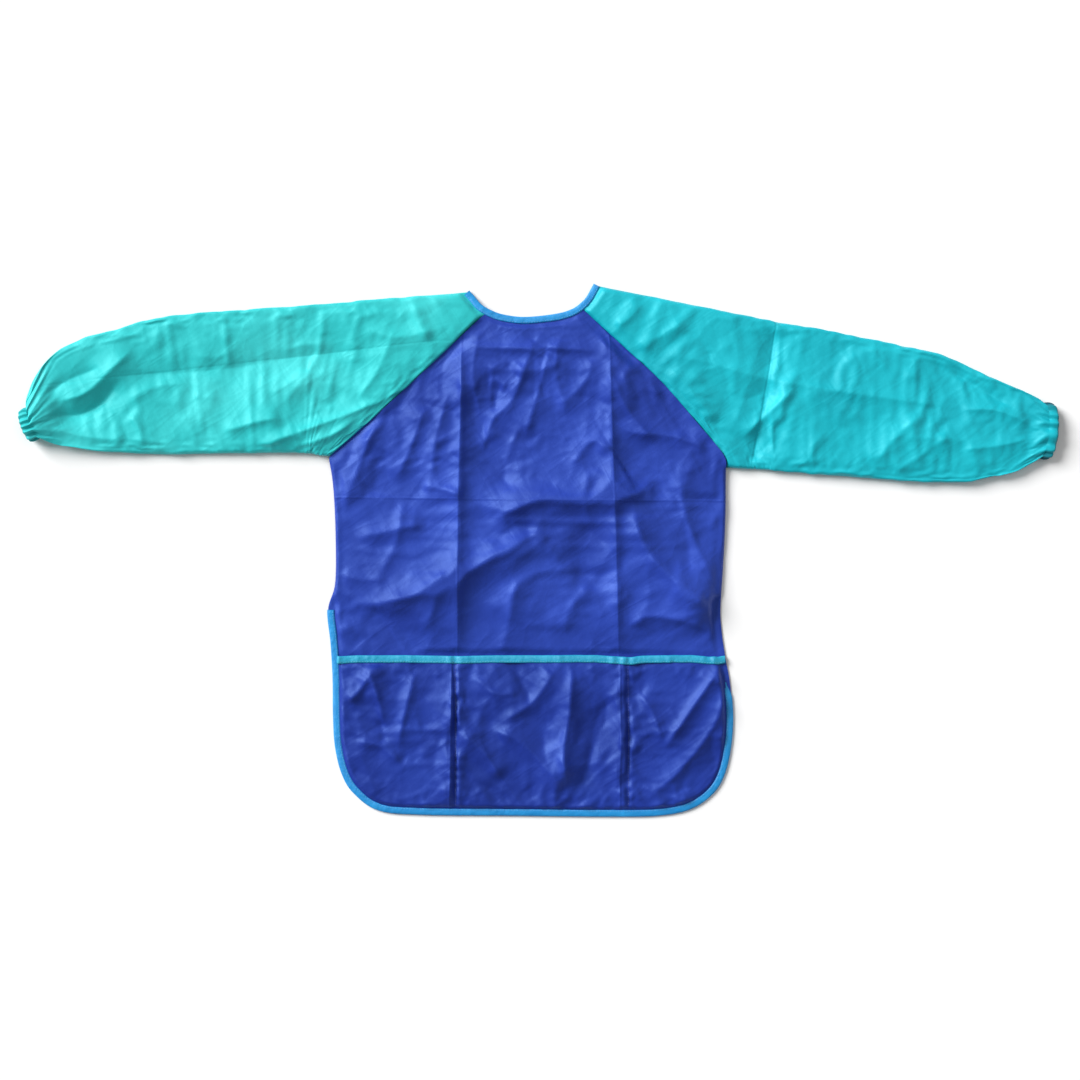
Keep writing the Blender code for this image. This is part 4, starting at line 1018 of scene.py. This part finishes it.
def satin_tape(name, base, pale):
    """Woven bias tape: threads at 45 degrees, a satin shine and faint puckers between the stitches."""
    paint, tree, shader = new_finish(name, Sheen_Weight=0.05, Sheen_Roughness=0.35, Anisotropic=0.3)
    place = flat_map(tree)
    cloud = add(tree, "TexNoise", Scale=55, Detail=3)
    threads = add(tree, "TexWave", bands_direction="DIAGONAL", Scale=700)
    pucker = add(tree, "TexNoise", Scale=230)
    for texture in (cloud, threads, pucker):
        tree.links.new(place, texture.inputs["Vector"])
    ramped(tree, shader, cloud.outputs["Fac"], (0.35, base), (0.70, pale))
    roughened(tree, shader, cloud.outputs["Fac"], 0.40, 0.58)
    height = plus(tree, pucker.outputs["Fac"], threads.outputs["Fac"], 0.06)
    bumped(tree, shader, height, Distance=0.0011, Strength=0.6)
    return paint


sky_tape = satin_tape("sky_blue_bias_tape", (0.004, 0.228, 0.575), (0.012, 0.300, 0.690))
turquoise_tape = satin_tape("turquoise_bias_tape", (0.006, 0.285, 0.470), (0.020, 0.375, 0.580))


def sideways(path, inside):
    """For each point of a path, the way over the cloth, which is to the left where inside is +1."""
    tangent = np.gradient(path, axis=0)
    tangent[:, 2] = 0
    tangent /= np.linalg.norm(tangent, axis=1, keepdims=True)
    return np.stack([-tangent[:, 1], tangent[:, 0], 0 * tangent[:, 0]], 1) * inside


def tape_along(name, path, inside, paint, seed, narrow=0.80):
    """Tape folded over a cloth edge. inside is +1 where the cloth lies to the left of the path."""
    run = distance_along(path)
    unfolded = distance_along(np.array(TAPE_PROFILE))
    grid, flat = [], []
    for point, side_way, far in zip(path, sideways(path, inside), run):
        ripple = 0.00030 * noise.noise((far / 0.006, seed, 0.0))
        waver = 0.00035 * noise.noise((far / 0.025, seed, 5.0))
        row = []
        for across, up in TAPE_PROFILE:
            lift = ripple * min(1, max(0, across / 0.004)) if up > 0 else 0
            over = (across + (waver if across > 0.004 else 0)) * narrow
            row.append(point + side_way * over + np.array([0, 0, up + lift]))
        grid.append(row)
        flat.append([(far, reach) for reach in unfolded])
    grid, flat = np.array(grid), np.array(flat)
    grid[..., 2] = np.maximum(grid[..., 2], 0.0002)
    if inside > 0:
        grid, flat = grid[:, ::-1], flat[:, ::-1]
    tape = cloth_piece(name, grid, flat)
    tape.data.materials.append(paint)
    return tape, run[-1]


def stitches(name, path, body, paint, pitch=0.0029, length=0.0023, width=0.00055, height=0.00028):
    """One row of thread, as separate raised stitches along a path."""
    run = distance_along(path)
    verts, faces = [], []
    for at in np.arange(pitch / 2, run[-1] - length, pitch):
        a, b = (np.array([np.interp(at + d, run, path[:, k]) for k in range(3)]) for d in (0, length))
        way = (b - a) / np.linalg.norm(b - a)
        side_way = np.array([-way[1], way[0], 0]) * width / 2
        lift = np.array([0, 0, height])
        first = len(verts)
        third, two_thirds = a + (b - a) * 0.28, a + (b - a) * 0.72
        verts += [a - lift * 0.3, third - side_way, third + lift, third + side_way,
                  two_thirds - side_way, two_thirds + lift, two_thirds + side_way, b - lift * 0.3]
        for face in ((0, 1, 2), (0, 2, 3), (1, 4, 5, 2), (2, 5, 6, 3), (4, 7, 5), (5, 7, 6)):
            faces.append([first + k for k in face])
    mesh = bpy.data.meshes.new(name)
    mesh.from_pydata([tuple(v) for v in verts], [], faces)
    mesh.shade_smooth()
    row = linked(name, mesh)
    row.data.materials.append(paint)
    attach(row, body)
    return row


def thread(name, colour):
    """Twisted polyester thread."""
    paint, tree, shader = new_finish(name, Roughness=0.45, Sheen_Weight=0.3)
    twist = add(tree, "TexNoise", Scale=900)
    tree.links.new(add(tree, "TexCoord").outputs["Object"], twist.inputs["Vector"])
    ramped(tree, shader, twist.outputs["Fac"], (0.3, [c * 0.6 for c in colour]), (0.7, colour))
    return paint


sky_thread = thread("sky_blue_thread", (0.10, 0.42, 0.85))
turquoise_thread = thread("turquoise_thread", (0.10, 0.60, 0.75))
blue_thread = thread("royal_blue_thread", (0.045, 0.075, 0.42))


def sew_tape(name, row_name, path, inside, body, node, finish, row_finish, seed, narrow, across):
    """A tape over an edge and its row of stitches, across metres in from the edge."""
    tape, long = tape_along(name, path, inside, finish, seed, narrow)
    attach(tape, body)
    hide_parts(node)
    on_tape = path + sideways(path, inside) * across + (0, 0, TAPE_TOP)
    stitches(row_name, on_tape, body, row_finish)


def with_height(line, height):
    return np.column_stack([line, np.full(len(line), height)])


# Hem tape: from the left side, round both corners, to the right side, where its top is rolled under
right_top = (round_hem[:, 0] > 0) * -0.0780
hem_run = spaced(round_hem[round_hem[:, 1] < -0.0600 + right_top], 520)
path = with_height(hem_run, HEM_HEIGHT)
tucked = ease(hem_run[:, 1], -0.156, -0.139) * (hem_run[:, 0] > 0)
path[:, 0] -= tucked * 0.0040
path[:, 2] -= tucked * 0.0006
sew_tape("hem_tape", "hem_tape_stitching", path, 1, "smock_body", "hem_binding", sky_tape, sky_thread,
         3.0, 0.80, 0.0053)

# Neck tape: over the top of both sleeves and down to the start of each back panel
sew_tape("neck_tape", "neck_tape_stitching", neck_path, -1, "smock_body", "neck_binding", sky_tape,
         sky_thread, 9.0, 0.76, 0.0050)

# Tape on each back panel's open edge, down to where it meets the hem's
for side, sign in (("left", 1), ("right", -1)):
    neck, centre, foot = back_edges[side]
    edge = spaced(np.vstack([neck[3:-1], centre]), 260)
    edge = edge[edge[:, 1] > FLAP_FOOT + 0.002]
    path = with_height(edge, BACK_HEIGHT[side])
    smooth(path, 6)
    sew_tape(f"back_tape_{side}", f"back_tape_stitching_{side}", path, -sign, f"{side}_back",
             f"back_binding_{side}", sky_tape, sky_thread,
             12.0 + sign, 0.80, 0.0053)

# Pocket tape: along the mouth, standing a little open between the stitched rows
sew_tape("pocket_mouth_tape", "pocket_tape_stitching", mouth_line, -1, "smock_body", "pocket_binding",
         turquoise_tape, turquoise_thread, 17.0, 0.84, 0.0056)

# ------------------------------------------------------------------ stitched rows
# Two rows of blue thread go through the pocket and the front and part the pocket in three.

pocket_faces = [face.vertices for face in pocket.data.polygons]
tree_of_pocket = BVHTree.FromPolygons([vertex.co for vertex in pocket.data.vertices], pocket_faces)


def laid_on(tree, line, lift):
    path = []
    for px, py in line:
        hit = tree.ray_cast(Vector((px, py, 0.1)), Vector((0, 0, -1)))[0]
        if hit is not None:
            path.append((px, py, hit.z + lift))
    return np.array(path)


for side, x_row in zip(("left", "right"), DIVIDERS):
    ys = np.linspace(POCKET_MOUTH - 0.002, -0.2700, 240)
    wave = [x_row + 0.0006 * noise.noise((h / 0.03, 7.0, x_row)) for h in ys]
    path = laid_on(tree_of_pocket, np.column_stack([wave, ys]), 0.00015)
    row = stitches(f"pocket_row_{side}", path, "smock_body", blue_thread)
    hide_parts(f"pocket_divider_{side}")

# ------------------------------------------------------------------ nape fastener
# A hook strip on one back panel's upper face and a loop strip on the other's under face, each sewn round
# its edge. They press together when the smock is worn.


def strip_finish(name, colour, scale):
    paint, tree, shader = new_finish(name, Roughness=0.9, Sheen_Weight=0.5)
    fuzz = add(tree, "TexVoronoi", Scale=scale)
    tree.links.new(add(tree, "TexCoord").outputs["Object"], fuzz.inputs["Vector"])
    ramped(tree, shader, fuzz.outputs["Distance"], (0, [min(1, c * 1.6) for c in colour]), (1, colour))
    bumped(tree, shader, fuzz.outputs["Distance"], Distance=0.0006)
    return paint


STRIPS = (("hook_strip", (0.020, 0.030, 0.200), 900), ("loop_strip", (0.025, 0.040, 0.230), 500))
for node, colour, scale in STRIPS:
    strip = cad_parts[node]
    strip.data.materials.clear()
    strip.data.materials.append(strip_finish(node + "_pile", colour, scale))

# ------------------------------------------------------------------ floor, light and camera
# A plain pale surface under the smock, soft light from above and to the upper left, and a camera straight
# above the middle.

floor_mesh = bpy.data.meshes.new("floor")
floor_mesh.from_pydata([(-3, -3, 0), (3, -3, 0), (3, 3, 0), (-3, 3, 0)], [], [(0, 1, 2, 3)])
floor = linked("floor", floor_mesh)
pale_floor, _, _ = new_finish("pale_floor", Base_Color=(0.92, 0.92, 0.92, 1), Roughness=0.85)
floor_mesh.materials.append(pale_floor)
floor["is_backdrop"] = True

world = bpy.data.worlds.new("studio")
bpy.context.scene.world = world
world.use_nodes = True
world.node_tree.nodes["Background"].inputs["Color"].default_value = (1, 1, 1, 1)
world.node_tree.nodes["Background"].inputs["Strength"].default_value = 0.28


def lamp(name, turned, high, spread, power):
    """A far soft light: turned degrees round from +X, high degrees above the floor."""
    data = bpy.data.lights.new(name, "SUN")
    data.angle = math.radians(spread)
    data.energy = power
    made = linked(name, data)
    turned, high = math.radians(turned), math.radians(high)
    way = Vector((math.cos(turned) * math.cos(high), math.sin(turned) * math.cos(high), math.sin(high)))
    made.rotation_euler = way.to_track_quat("Z", "Y").to_euler()


lamp("key", 146, 31, 36, 4.8)
lamp("fill", 40, 55, 60, 0.35)

camera = linked("camera", bpy.data.cameras.new("camera"))
camera.data.lens = 85
camera.location = (0.0, 0.011, 2.690)
bpy.context.scene.camera = camera
bpy.context.scene.view_settings.view_transform = "Standard"

low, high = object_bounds()
